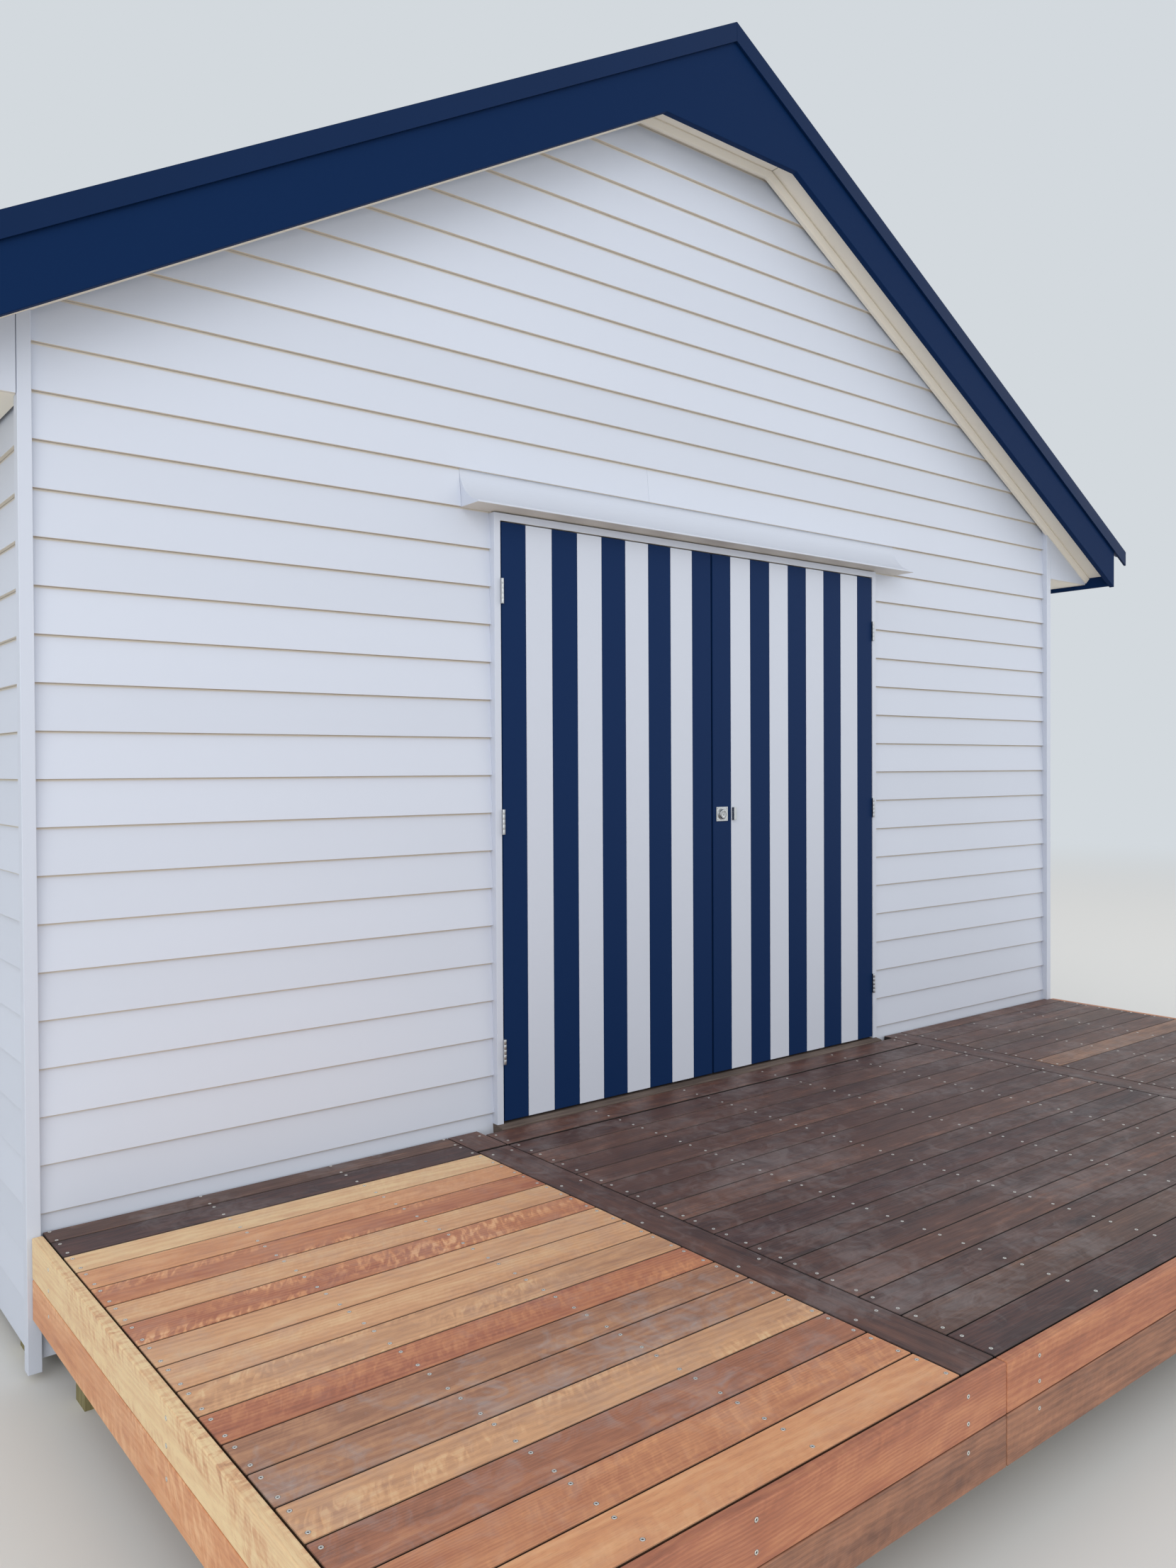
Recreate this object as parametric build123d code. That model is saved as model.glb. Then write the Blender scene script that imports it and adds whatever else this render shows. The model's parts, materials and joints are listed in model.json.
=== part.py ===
# A white weatherboard boat shed with a navy gable roof, striped double doors and a hardwood deck.
# Millimetres. +Z is up, +X is to the right seen from the front, and the front faces -Y.
# The origin is on the ground, under the middle of everything the shed and its deck cover.
import os
from math import cos, radians, tan

from build123d import *

# Shed body
shed_width = 5800.0
shed_length = 7200.0
wall_height = 2870.0
frame_thickness = 90.0
board_thickness = 20.0
skirt_drop = 393.0
corner_stop = 42.0
corner_stop_drop = 426.0

# Ground and floor
deck_height = 450.0
floor_thickness = 20.0
joist_width = 45.0
floor_joist_depth = 140.0
floor_joist_spacing = 600.0
bearer_width = 90.0
floor_bearer_depth = 140.0
stump_size = 120.0
stump_rows = 4
stump_inset = 200.0

# Roof
roof_pitch = 29.5
gable_overhang = 200.0
eave_overhang = 450.0
sheet_overhang = 120.0
rafter_depth = 140.0
rafter_width = 45.0
rafter_bays = 8
ridge_board_width = 30.0
ridge_board_extra = 30.0
batten_depth = 35.0
batten_width = 70.0
batten_rows = 6
sheet_thickness = 18.0
ridge_cap_reach = 170.0

# Roof trim
barge_thickness = 30.0
barge_drop = 60.0
cap_face_height = 74.0
cap_face_thickness = 14.0
cap_flange = 5.0
cap_flange_reach = 120.0
infill_depth = 231.3
soffit_thickness = 6.0
soffit_reveal = 63.0
eave_soffit_drop = 46.7
fascia_thickness = 20.0
fascia_drop = 25.0
return_thickness = 18.0
return_groove = 2.0

# Doorway and doors
door_centre = 17.0
frame_outer_width = 2400.0
frame_outer_height = 2450.0
jamb_face = 30.0
frame_proud = 23.0
stop_width = 14.0
stop_depth = 25.0
leaf_thickness = 40.0
leaf_board_thickness = 19.0
ledge_height = 130.0
brace_width = 110.0
leaf_gap = 5.0
meeting_gap = 10.0
leaf_foot_gap = 20.0
sill_rise = 10.0
sill_depth = 50.0
sill_nosing = 57.0
sill_nosing_fall = 6.0

# Flared board over the doors
hood_left_reach = 137.0
hood_right_reach = 192.0
hood_frame_gap = 5.0
hood_height = 152.0
hood_projection = 120.0
hood_top_edge = 4.0
hood_lip = 9.0

# Door hinges
hinge_height = 100.0
hinge_foot_rise = 280.0
hinge_head_drop = 276.0
knuckle_radius = 6.5
knuckle_count = 5
knuckle_gap = 0.3
hinge_pin_radius = 3.0
pin_clearance = 0.3
hinge_plate = 2.0
hinge_plate_depth = 30.0
knuckle_stand_off = 1.0

# Lock and pull on the right-hand door
lock_level = 1217.0
lock_inset = 56.0
lock_plate_width = 74.0
lock_plate_height = 66.0
lock_plate_thickness = 3.0
lock_cylinder_radius = 26.0
lock_cylinder_length = 11.0
pull_inset = 122.0
pull_width = 16.0
pull_height = 60.0
pull_thickness = 2.0
pull_stand_off = 16.0

# Deck
deck_depth = 2327.0
deck_left_inset = 14.0
deck_right_overhang = 18.0
deck_board_thickness = 22.0
narrowest_sill_board = 80.0
side_board_pitch = 136.7
middle_board_pitch = 138.1
deck_board_gap = 3.5
panel_gap = 14.0
long_board_width = 136.0
sill_slot = 86.0
long_board_screw_offset = 42.0
deck_fascia_thickness = 32.0
deck_fascia_height = 128.0
deck_joist_depth = 140.0
side_joist_count = 4
middle_joist_count = 6
middle_joist_inset = 29.0
deck_bearer_depth = 90.0
deck_bearer_inset = 250.0
deck_post_size = 90.0
deck_post_columns = 4

# Small joints between neighbouring pieces
joint = 0.5
wall_gap = 4.0
seat = 0.3

# Levels and planes worked out from the sizes above
half_width = shed_width / 2
overall_depth = deck_depth + shed_length + gable_overhang + cap_face_thickness
front_y = deck_depth - overall_depth / 2
back_y = front_y + shed_length
wall_depth = board_thickness + frame_thickness
inner_half_width = half_width - wall_depth
stop_face_x = half_width + corner_stop - board_thickness
frame_half_width = half_width - board_thickness
eave_x = half_width + eave_overhang
sheet_x = eave_x + sheet_overhang
rafter_end_x = eave_x - fascia_thickness
slope = tan(radians(roof_pitch))
rake = cos(radians(roof_pitch))
batten_base = rafter_depth
sheet_base = batten_base + batten_depth
flange_base = sheet_base + sheet_thickness
cap_top = flange_base + cap_flange
skirt_z = deck_height - skirt_drop
sill_z = deck_height + sill_rise
frame_top_z = deck_height + frame_outer_height
frame_half = frame_outer_width / 2
clear_half = frame_half - jamb_face
leaf_front_y = front_y - frame_proud
leaf_back_y = leaf_front_y + leaf_thickness
leaf_bottom_z = deck_height + leaf_foot_gap
leaf_top_z = frame_top_z - jamb_face - leaf_gap
hinge_low_z = leaf_bottom_z + hinge_foot_rise
hinge_high_z = leaf_top_z - hinge_head_drop
hinge_centres_z = (hinge_low_z, (hinge_low_z + hinge_high_z) / 2, hinge_high_z)
deck_front_y = front_y - deck_depth
deck_board_front_y = deck_front_y + deck_fascia_thickness
deck_fascia_z = deck_height - 2 * deck_fascia_height
deck_left_x = -stop_face_x + deck_left_inset
deck_right_x = stop_face_x + deck_right_overhang
sill_board_back_y = front_y - sill_nosing - wall_gap
middle_run = sill_board_back_y - narrowest_sill_board - panel_gap - deck_board_front_y
middle_rows = int(middle_run / middle_board_pitch)
panel_edge_y = deck_board_front_y + middle_rows * middle_board_pitch


def block(x_limits, y_limits, z_limits):
    """A box between two planes along each axis, given in either order."""
    x0, x1 = sorted(x_limits)
    y0, y1 = sorted(y_limits)
    z0, z1 = sorted(z_limits)
    centre = ((x0 + x1) / 2, (y0 + y1) / 2, (z0 + z1) / 2)
    return Pos(*centre) * Box(x1 - x0, y1 - y0, z1 - z0)


def upright_plate(outline, y_limits):
    """A plate whose outline is seen from the front, as (x, z) points, between two planes along Y."""
    y0, y1 = sorted(y_limits)
    corners = [(x, y0, z) for x, z in outline]
    face = make_face(Polyline(*corners, close=True))
    return extrude(face, amount=y1 - y0, dir=(0, 1, 0))


def flat_plate(outline, z_limits):
    """A plate whose outline is seen from above, as (x, y) points, between two levels."""
    z0, z1 = sorted(z_limits)
    corners = [(x, y, z0) for x, y in outline]
    face = make_face(Polyline(*corners, close=True))
    return extrude(face, amount=z1 - z0, dir=(0, 0, 1))


def long_profile(outline, x_limits):
    """A length whose section is seen from the side, as (y, z) points, between two planes along X."""
    x0, x1 = sorted(x_limits)
    corners = [(x0, y, z) for y, z in outline]
    face = make_face(Polyline(*corners, close=True))
    return extrude(face, amount=x1 - x0, dir=(1, 0, 0))


def roof_z(x, height):
    """Level at x of a plane that lies height above the undersides of the rafters, measured squarely."""
    return deck_height + wall_height + (half_width - abs(x)) * slope + height / rake


def spread(count, first, last):
    """Evenly spaced places from first to last."""
    return [first + (last - first) * i / (count - 1) for i in range(count)]


def end_y(end, outward):
    """A place outward from the face of the front or back boards."""
    return front_y - outward if end == "front" else back_y + outward


def infill_tip_z():
    """Upper tip of the infill, just under the meeting of the barge boards."""
    return roof_z(0, -barge_drop) - joint


def eave_soffit_z():
    """Underside of the level lining under the side eaves."""
    return roof_z(rafter_end_x, 0) - eave_soffit_drop


def slope_layer(side, x_limits, base, top):
    """Outline of a layer of the roof on one side, cut upright at both ends."""
    x0, x1 = x_limits
    return [
        (side * x0, roof_z(x0, base)),
        (side * x1, roof_z(x1, base)),
        (side * x1, roof_z(x1, top)),
        (side * x0, roof_z(x0, top)),
    ]


# Ground work and floor
def shed_stumps():
    """Timber stumps in three columns under the floor bearers."""
    top = deck_height - floor_thickness - floor_joist_depth - floor_bearer_depth
    solids = []
    for x in bearer_columns():
        for y in spread(stump_rows, front_y + stump_inset, back_y - stump_inset):
            half = stump_size / 2
            solids.append(block((x - half, x + half), (y - half, y + half), (0, top)))
    return solids


def bearer_columns():
    """Centre lines of the three floor bearers."""
    outer = frame_half_width - stump_size / 2
    return (-outer, 0.0, outer)


def floor_bearers():
    """Bearers along the shed, on the stumps."""
    top = deck_height - floor_thickness - floor_joist_depth
    half = bearer_width / 2
    y_limits = (front_y + board_thickness, back_y - board_thickness)
    z_limits = (top - floor_bearer_depth, top)
    return [block((x - half, x + half), y_limits, z_limits) for x in bearer_columns()]


def floor_joists():
    """Joists across the shed, on the bearers."""
    top = deck_height - floor_thickness
    half = joist_width / 2
    first = front_y + board_thickness + half
    last = back_y - board_thickness - half
    count = round((last - first) / floor_joist_spacing) + 1
    x_limits = (-frame_half_width, frame_half_width)
    z_limits = (top - floor_joist_depth, top)
    return [block(x_limits, (y - half, y + half), z_limits) for y in spread(count, first, last)]


def floor_sheet():
    """Floor boards as one sheet, under the wall frames."""
    y_limits = (front_y + board_thickness, back_y - board_thickness)
    z_limits = (deck_height - floor_thickness, deck_height)
    return block((-frame_half_width, frame_half_width), y_limits, z_limits)


# Walls
def wall_between(x0, x1, y_limits, bottom):
    """Upright wall seen from the front between two lines, with its top under the rafters."""
    outline = [(x0, bottom), (x1, bottom), (x1, roof_z(x1, 0))]
    if x0 < 0 < x1:
        outline.append((0, roof_z(0, 0)))
    outline.append((x0, roof_z(x0, 0)))
    return upright_plate(outline, y_limits)


def front_wall(part):
    """One of the three pieces of the front wall frame: left or right of the doorway, or over it."""
    y_limits = (front_y + board_thickness, front_y + wall_depth)
    left_edge = door_centre - frame_half
    right_edge = door_centre + frame_half
    if part == "left":
        return wall_between(-frame_half_width, left_edge, y_limits, deck_height)
    if part == "right":
        return wall_between(right_edge, frame_half_width, y_limits, deck_height)
    return wall_between(left_edge, right_edge, y_limits, frame_top_z)


def back_wall():
    """Back wall frame, gable included."""
    y_limits = (back_y - wall_depth, back_y - board_thickness)
    return wall_between(-frame_half_width, frame_half_width, y_limits, deck_height)


def side_wall(side):
    """Side wall frame between the front and back frames, its top cut to the slope of the rafters."""
    outline = [
        (side * inner_half_width, deck_height),
        (side * frame_half_width, deck_height),
        (side * frame_half_width, roof_z(frame_half_width, 0)),
        (side * inner_half_width, roof_z(inner_half_width, 0)),
    ]
    return upright_plate(outline, (front_y + wall_depth, back_y - wall_depth))


def front_weatherboards():
    """Boards on the front, cut through at the doorway and under the sill."""
    y_limits = (front_y, front_y + board_thickness)
    sheet = wall_between(-frame_half_width, frame_half_width, y_limits, skirt_z)
    doorway = block(
        (door_centre - frame_half, door_centre + frame_half),
        y_limits,
        (sill_z - sill_depth, frame_top_z),
    )
    return sheet - doorway


def back_weatherboards():
    """Boards on the back, gable included."""
    y_limits = (back_y - board_thickness, back_y)
    return wall_between(-frame_half_width, frame_half_width, y_limits, skirt_z)


def side_weatherboards(side):
    """Boards on one side, between the corner stops."""
    outline = [
        (side * frame_half_width, skirt_z),
        (side * half_width, skirt_z),
        (side * half_width, roof_z(half_width, 0)),
        (side * frame_half_width, roof_z(frame_half_width, 0)),
    ]
    return upright_plate(outline, (front_y + board_thickness, back_y - board_thickness))


def corner_stops():
    """Square upright stops at the four corners, which the boards end against."""
    bottom = deck_height - corner_stop_drop
    proud = corner_stop - board_thickness
    inner = frame_half_width
    outer = stop_face_x
    solids = []
    for side in (-1, 1):
        for end in ("front", "back"):
            outline = [
                (side * inner, bottom),
                (side * outer, bottom),
                (side * outer, roof_z(outer, -soffit_thickness - seat)),
                (side * inner, roof_z(inner, -soffit_thickness - seat)),
            ]
            y_limits = (end_y(end, proud), end_y(end, -board_thickness))
            solids.append(upright_plate(outline, y_limits))
    return solids


# Roof
def rafters():
    """Rafters on both sides, from the ridge board to the backs of the fascias."""
    half = rafter_width / 2
    first = front_y + board_thickness + half
    last = back_y - board_thickness - half
    solids = []
    for side in (-1, 1):
        outline = slope_layer(side, (ridge_board_width / 2, rafter_end_x), 0, rafter_depth)
        for y in spread(rafter_bays + 1, first, last):
            solids.append(upright_plate(outline, (y - half, y + half)))
    return solids


def ridge_board():
    """Board between the upper ends of the rafters."""
    half = ridge_board_width / 2
    y_limits = (front_y + wall_depth, back_y - wall_depth)
    top = roof_z(half, rafter_depth)
    bottom = roof_z(half, 0) - ridge_board_extra
    return block((-half, half), y_limits, (bottom, top))


def roof_battens():
    """Battens laid across the rafters from barge to barge."""
    y_limits = (front_y - gable_overhang + barge_thickness, back_y + gable_overhang - barge_thickness)
    width = batten_width * rake
    solids = []
    for side in (-1, 1):
        for x in spread(batten_rows, ridge_board_width + width, rafter_end_x - width / 2):
            outline = slope_layer(side, (x - width / 2, x + width / 2), batten_base, sheet_base)
            solids.append(upright_plate(outline, y_limits))
    return solids


def roof_sheet(side):
    """Roof sheeting on one side."""
    y_limits = (front_y - gable_overhang, back_y + gable_overhang)
    outline = slope_layer(side, (joint / 2, sheet_x), sheet_base, flange_base)
    return upright_plate(outline, y_limits)


def ridge_cap():
    """Folded cap over the ridge, between the barge caps."""
    reach = cap_flange_reach - cap_face_thickness + joint
    y_limits = (front_y - gable_overhang + reach, back_y + gable_overhang - reach)
    outline = [
        (-ridge_cap_reach, roof_z(ridge_cap_reach, flange_base)),
        (0, roof_z(0, flange_base)),
        (ridge_cap_reach, roof_z(ridge_cap_reach, flange_base)),
        (ridge_cap_reach, roof_z(ridge_cap_reach, cap_top)),
        (0, roof_z(0, cap_top)),
        (-ridge_cap_reach, roof_z(ridge_cap_reach, cap_top)),
    ]
    return upright_plate(outline, y_limits)


def barge_boards():
    """At each end two barge boards with plumb feet, and the flat-bottomed infill under their meeting."""
    tip_z = infill_tip_z()
    foot_z = tip_z - infill_depth
    infill_half = infill_depth / slope
    infill = [(-infill_half, foot_z), (infill_half, foot_z), (0, tip_z)]
    solids = []
    for end in ("front", "back"):
        y_limits = (end_y(end, gable_overhang), end_y(end, gable_overhang - barge_thickness))
        for side in (-1, 1):
            outline = slope_layer(side, (joint / 2, eave_x), -barge_drop, sheet_base - seat)
            solids.append(upright_plate(outline, y_limits))
        solids.append(upright_plate(infill, y_limits))
    return solids


def barge_caps():
    """Folded caps over the barge boards: a face in front of the board and a flange on the sheeting."""
    face_reach = gable_overhang + cap_face_thickness
    solids = []
    for end in ("front", "back"):
        fold_y = end_y(end, gable_overhang + seat)
        for side in (-1, 1):
            face_outline = slope_layer(side, (joint / 2, sheet_x), cap_top - cap_face_height, cap_top)
            face = upright_plate(face_outline, (end_y(end, face_reach), fold_y))
            flange_outline = slope_layer(side, (joint / 2, sheet_x), flange_base, cap_top)
            flange = upright_plate(flange_outline, (fold_y, end_y(end, face_reach - cap_flange_reach)))
            solids.append(face + flange)
    return solids


def gable_soffits():
    """Lining under the gable overhangs: two slopes and the level piece at each apex."""
    level_z = infill_tip_z() - infill_depth + soffit_reveal
    level_half = half_width - (level_z - deck_height - wall_height + soffit_thickness / rake) / slope
    level_end = level_half - soffit_thickness
    solids = []
    for end in ("front", "back"):
        y_limits = (end_y(end, gable_overhang - barge_thickness), end_y(end, 0))
        for side in (-1, 1):
            outline = slope_layer(side, (level_half + joint, rafter_end_x), -soffit_thickness, 0)
            solids.append(upright_plate(outline, y_limits))
        solids.append(block((-level_end, level_end), y_limits, (level_z, level_z + soffit_thickness)))
    return solids


def eave_fascias():
    """Upright boards on the ends of the rafters, from barge to barge."""
    y_limits = (front_y - gable_overhang + barge_thickness, back_y + gable_overhang - barge_thickness)
    bottom = eave_soffit_z() - fascia_drop
    solids = []
    for side in (-1, 1):
        outline = [
            (side * rafter_end_x, bottom),
            (side * eave_x, bottom),
            (side * eave_x, roof_z(eave_x, rafter_depth)),
            (side * rafter_end_x, roof_z(rafter_end_x, rafter_depth)),
        ]
        solids.append(upright_plate(outline, y_limits))
    return solids


def eave_soffits():
    """Level lining under each side eave, cut round the corner stops."""
    base = eave_soffit_z()
    outer = stop_face_x + seat
    behind_return = corner_stop - board_thickness - return_thickness
    solids = []
    for side in (-1, 1):
        outline = [
            (side * outer, front_y - behind_return),
            (side * rafter_end_x, front_y - behind_return),
            (side * rafter_end_x, back_y + behind_return),
            (side * outer, back_y + behind_return),
            (side * outer, back_y - board_thickness - seat),
            (side * half_width, back_y - board_thickness - seat),
            (side * half_width, front_y + board_thickness + seat),
            (side * outer, front_y + board_thickness + seat),
        ]
        solids.append(flat_plate(outline, (base, base + soffit_thickness)))
    return solids


def eave_returns():
    """Tapered panels that close the ends of the side eaves, with a groove beside the corner stops."""
    bottom = eave_soffit_z()
    proud = corner_stop - board_thickness
    inner = stop_face_x + return_groove
    solids = []
    for side in (-1, 1):
        for end in ("front", "back"):
            outline = [
                (side * inner, bottom),
                (side * rafter_end_x, bottom),
                (side * rafter_end_x, roof_z(rafter_end_x, -soffit_thickness - seat)),
                (side * inner, roof_z(inner, -soffit_thickness - seat)),
            ]
            y_limits = (end_y(end, proud), end_y(end, proud - return_thickness))
            solids.append(upright_plate(outline, y_limits))
    return solids


# Doorway
def door_frame():
    """Jambs and head with a stop behind the leaves, standing on the sill."""
    outer = (door_centre - frame_half, door_centre + frame_half)
    clear = (door_centre - clear_half, door_centre + clear_half)
    y_limits = (leaf_front_y, front_y + wall_depth)
    whole = block(outer, y_limits, (sill_z, frame_top_z))
    passage = block(clear, y_limits, (sill_z, frame_top_z - jamb_face))
    stop_y = leaf_back_y + leaf_gap
    stop = block(clear, (stop_y, stop_y + stop_depth), (sill_z, frame_top_z - jamb_face))
    stop_clear = (clear[0] + stop_width, clear[1] - stop_width)
    stop_top = frame_top_z - jamb_face - stop_width
    stop_passage = block(stop_clear, (stop_y, stop_y + stop_depth), (sill_z, stop_top))
    return whole - passage + (stop - stop_passage)


def door_sill():
    """Timber sill on the edge of the floor, with a nosing that falls away in front of the leaves."""
    outline = [
        (front_y - sill_nosing, sill_z - sill_depth),
        (front_y + board_thickness, sill_z - sill_depth),
        (front_y + board_thickness, deck_height),
        (front_y + wall_depth, deck_height),
        (front_y + wall_depth, sill_z),
        (leaf_front_y, sill_z),
        (front_y - sill_nosing, sill_z - sill_nosing_fall),
    ]
    return long_profile(outline, (door_centre - frame_half, door_centre + frame_half))


def door_hood():
    """Flared board over the doors: upright at its top, curved out to a thin lip, and closed below."""
    lip_z = frame_top_z + hood_frame_gap
    top_z = lip_z + hood_height
    lip_y = front_y - hood_projection
    x0 = door_centre - frame_half - hood_left_reach
    x1 = door_centre + frame_half + hood_right_reach
    back_top = (x0, front_y - seat, top_z)
    back_foot = (x0, front_y - seat, lip_z)
    lip_foot = (x0, lip_y, lip_z)
    lip_top = (x0, lip_y, lip_z + hood_lip)
    curve_top = (x0, front_y - hood_top_edge, top_z)
    edges = [
        Line(back_top, back_foot),
        Line(back_foot, lip_foot),
        Line(lip_foot, lip_top),
        TangentArc(curve_top, lip_top, tangent=(0, 0, -1)),
        Line(curve_top, back_top),
    ]
    return extrude(make_face(edges), amount=x1 - x0, dir=(1, 0, 0))


def leaf_limits(side):
    """Hinge edge and meeting edge of one leaf along X."""
    return (door_centre + side * (clear_half - leaf_gap), door_centre + side * meeting_gap / 2)


def door_leaf(side):
    """One leaf of upright boards, with a ledge behind them at each hinge and a brace between ledges."""
    hinge_x, meeting_x = leaf_limits(side)
    ledge_y = (leaf_front_y + leaf_board_thickness, leaf_back_y)
    leaf = block((hinge_x, meeting_x), (leaf_front_y, ledge_y[0]), (leaf_bottom_z, leaf_top_z))
    half = ledge_height / 2
    for z in hinge_centres_z:
        leaf += block((hinge_x, meeting_x), ledge_y, (z - half, z + half))
    foot_x = hinge_x - side * brace_width
    head_x = meeting_x + side * brace_width
    for low, high in zip(hinge_centres_z, hinge_centres_z[1:]):
        outline = [
            (foot_x, low + half),
            (foot_x - side * brace_width, low + half),
            (head_x, high - half),
            (head_x + side * brace_width, high - half),
        ]
        leaf += upright_plate(outline, ledge_y)
    return leaf


# Hinges
def hinge_axis(side):
    """Place of the hinge pins of one leaf, as (x, y)."""
    x = door_centre + side * (clear_half - leaf_gap / 2)
    return x, leaf_front_y - knuckle_radius - knuckle_stand_off


def hinge_knuckles(side, centre_z, first):
    """Every second knuckle of one hinge, from the given one, bored for the pin."""
    x, y = hinge_axis(side)
    pitch = hinge_height / knuckle_count
    bore = hinge_pin_radius + pin_clearance
    rings = []
    for i in range(first, knuckle_count, 2):
        z = centre_z - hinge_height / 2 + pitch * (i + 0.5)
        ring = Cylinder(knuckle_radius, pitch - knuckle_gap) - Cylinder(bore, pitch)
        rings.append(Pos(x, y, z) * ring)
    return rings


def hinge_leaf(side, centre_z, fixed):
    """One half of a hinge: its knuckles and the plate that runs back into the gap."""
    x, y = hinge_axis(side)
    bore = hinge_pin_radius + pin_clearance
    toward = side if fixed else -side
    plate_x = (x + toward * leaf_gap / 2, x + toward * (leaf_gap / 2 - hinge_plate))
    pitch = hinge_height / knuckle_count
    first = 0 if fixed else 1
    z_limits = (centre_z - hinge_height / 2, centre_z + hinge_height / 2)
    leaf = block(plate_x, (leaf_front_y, leaf_front_y + hinge_plate_depth), z_limits)
    for i in range(first, knuckle_count, 2):
        z = centre_z - hinge_height / 2 + pitch * i
        tab = block(plate_x, (y, leaf_front_y), (z + knuckle_gap / 2, z + pitch - knuckle_gap / 2))
        tab -= Pos(x, y, z + pitch / 2) * Cylinder(bore, pitch)
        leaf += tab
    for ring in hinge_knuckles(side, centre_z, first):
        leaf += ring
    return leaf


def frame_hinge_leaves():
    """Halves of all six hinges that are screwed to the frame."""
    solids = []
    for side in (-1, 1):
        for z in hinge_centres_z:
            solids.append(hinge_leaf(side, z, True))
    return solids


def hinge_pins():
    """Pins of all six hinges."""
    solids = []
    for side in (-1, 1):
        x, y = hinge_axis(side)
        for z in hinge_centres_z:
            solids.append(Pos(x, y, z) * Cylinder(hinge_pin_radius, hinge_height))
    return solids


def door_hinge_leaves(side):
    """Halves of the three hinges that are screwed to one leaf."""
    return [hinge_leaf(side, z, False) for z in hinge_centres_z]


# Lock
def door_lock():
    """Square plate with its round lock cylinder, and the folded pull beside it, on the right leaf."""
    z = deck_height + lock_level
    x = door_centre + meeting_gap / 2 + lock_inset
    half = lock_plate_width / 2
    plate = block(
        (x - half, x + half),
        (leaf_front_y - lock_plate_thickness, leaf_front_y),
        (z - lock_plate_height / 2, z + lock_plate_height / 2),
    )
    length = lock_cylinder_length + lock_plate_thickness
    cylinder = Pos(x, leaf_front_y - length / 2, z) * Rot(90, 0, 0) * Cylinder(lock_cylinder_radius, length)
    pull_x = door_centre + meeting_gap / 2 + pull_inset
    z_limits = (z - pull_height / 2, z + pull_height / 2)
    foot = block((pull_x, pull_x + pull_width), (leaf_front_y - pull_thickness, leaf_front_y), z_limits)
    tab = block((pull_x, pull_x + pull_thickness), (leaf_front_y - pull_stand_off, leaf_front_y), z_limits)
    return [plate + cylinder, foot + tab]


# Deck
def long_board_edges(side):
    """Inner and outer edge of the long board that runs out from one side of the doorway."""
    inner = door_centre + side * (frame_half + sill_slot)
    return inner, inner + side * long_board_width


def deck_board_strip(x_limits, pitch, back_edge):
    """Boards of one bay, counted from the front, and the last one cut to the given back edge."""
    z_limits = (deck_height - deck_board_thickness, deck_height)
    boards = []
    y = deck_board_front_y
    while y + deck_board_gap + wall_gap < back_edge:
        last = min(y + pitch, back_edge)
        boards.append(block(x_limits, (y + deck_board_gap, last), z_limits))
        y += pitch
    return boards


def left_bay_boards():
    """Boards of the left bay, from the fascia to the long board."""
    edge = long_board_edges(-1)[1]
    x_limits = (deck_left_x + deck_fascia_thickness + deck_board_gap, edge - deck_board_gap)
    return deck_board_strip(x_limits, side_board_pitch, front_y - wall_gap)


def right_bay_boards():
    """Boards of the right bay, the last one notched round the corner stop."""
    edge = long_board_edges(1)[1]
    x_limits = (edge + deck_board_gap, deck_right_x - deck_fascia_thickness - deck_board_gap)
    boards = deck_board_strip(x_limits, side_board_pitch, front_y - wall_gap)
    proud = corner_stop - board_thickness
    notch = block(
        (frame_half_width - wall_gap, deck_right_x),
        (front_y - proud - wall_gap, front_y),
        (deck_height - deck_board_thickness, deck_height),
    )
    boards[-1] = boards[-1] - notch
    return boards


def middle_bay_boards():
    """Boards of the bay in front of the doors, and the board that lies along the sill."""
    inner_left = long_board_edges(-1)[0]
    inner_right = long_board_edges(1)[0]
    x_limits = (inner_left + deck_board_gap, inner_right - deck_board_gap)
    z_limits = (deck_height - deck_board_thickness, deck_height)
    boards = deck_board_strip(x_limits, middle_board_pitch, panel_edge_y)
    boards.append(block(x_limits, (panel_edge_y + panel_gap, sill_board_back_y), z_limits))
    return boards


def deck_boards():
    """All boards that run along the wall, in the three bays of the deck."""
    return left_bay_boards() + middle_bay_boards() + right_bay_boards()


def deck_long_boards():
    """Boards that run out from the sides of the doorway, the left one in two lengths."""
    z_limits = (deck_height - deck_board_thickness, deck_height)
    front_edge = deck_board_front_y + deck_board_gap
    back_edge = front_y - wall_gap
    left = long_board_edges(-1)
    return [
        block(left, (front_edge, panel_edge_y), z_limits),
        block(left, (panel_edge_y + panel_gap, back_edge), z_limits),
        block(long_board_edges(1), (front_edge, back_edge), z_limits),
    ]


def fascia_pair(x_limits, y_limits):
    """Upper and lower fascia board with a fine joint between them."""
    middle = deck_height - deck_fascia_height
    upper = block(x_limits, y_limits, (middle + joint, deck_height))
    lower = block(x_limits, y_limits, (deck_fascia_z, middle - joint))
    return [upper, lower]


def deck_side_fascias():
    """Fascia boards on the left and right edges of the deck."""
    y_limits = (deck_board_front_y, front_y - (corner_stop - board_thickness) - wall_gap)
    left_limits = (deck_left_x, deck_left_x + deck_fascia_thickness)
    right_limits = (deck_right_x - deck_fascia_thickness, deck_right_x)
    return fascia_pair(left_limits, y_limits) + fascia_pair(right_limits, y_limits)


def deck_front_fascias():
    """Fascia boards on the front edge of the deck, joined end to end at the long boards."""
    left_joint = long_board_edges(-1)[0]
    right_joint = long_board_edges(1)[0]
    breaks = (deck_left_x, left_joint, right_joint, deck_right_x)
    y_limits = (deck_front_y, deck_board_front_y - joint)
    solids = []
    for start, finish in zip(breaks, breaks[1:]):
        solids += fascia_pair((start + joint, finish - joint), y_limits)
    return solids


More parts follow.
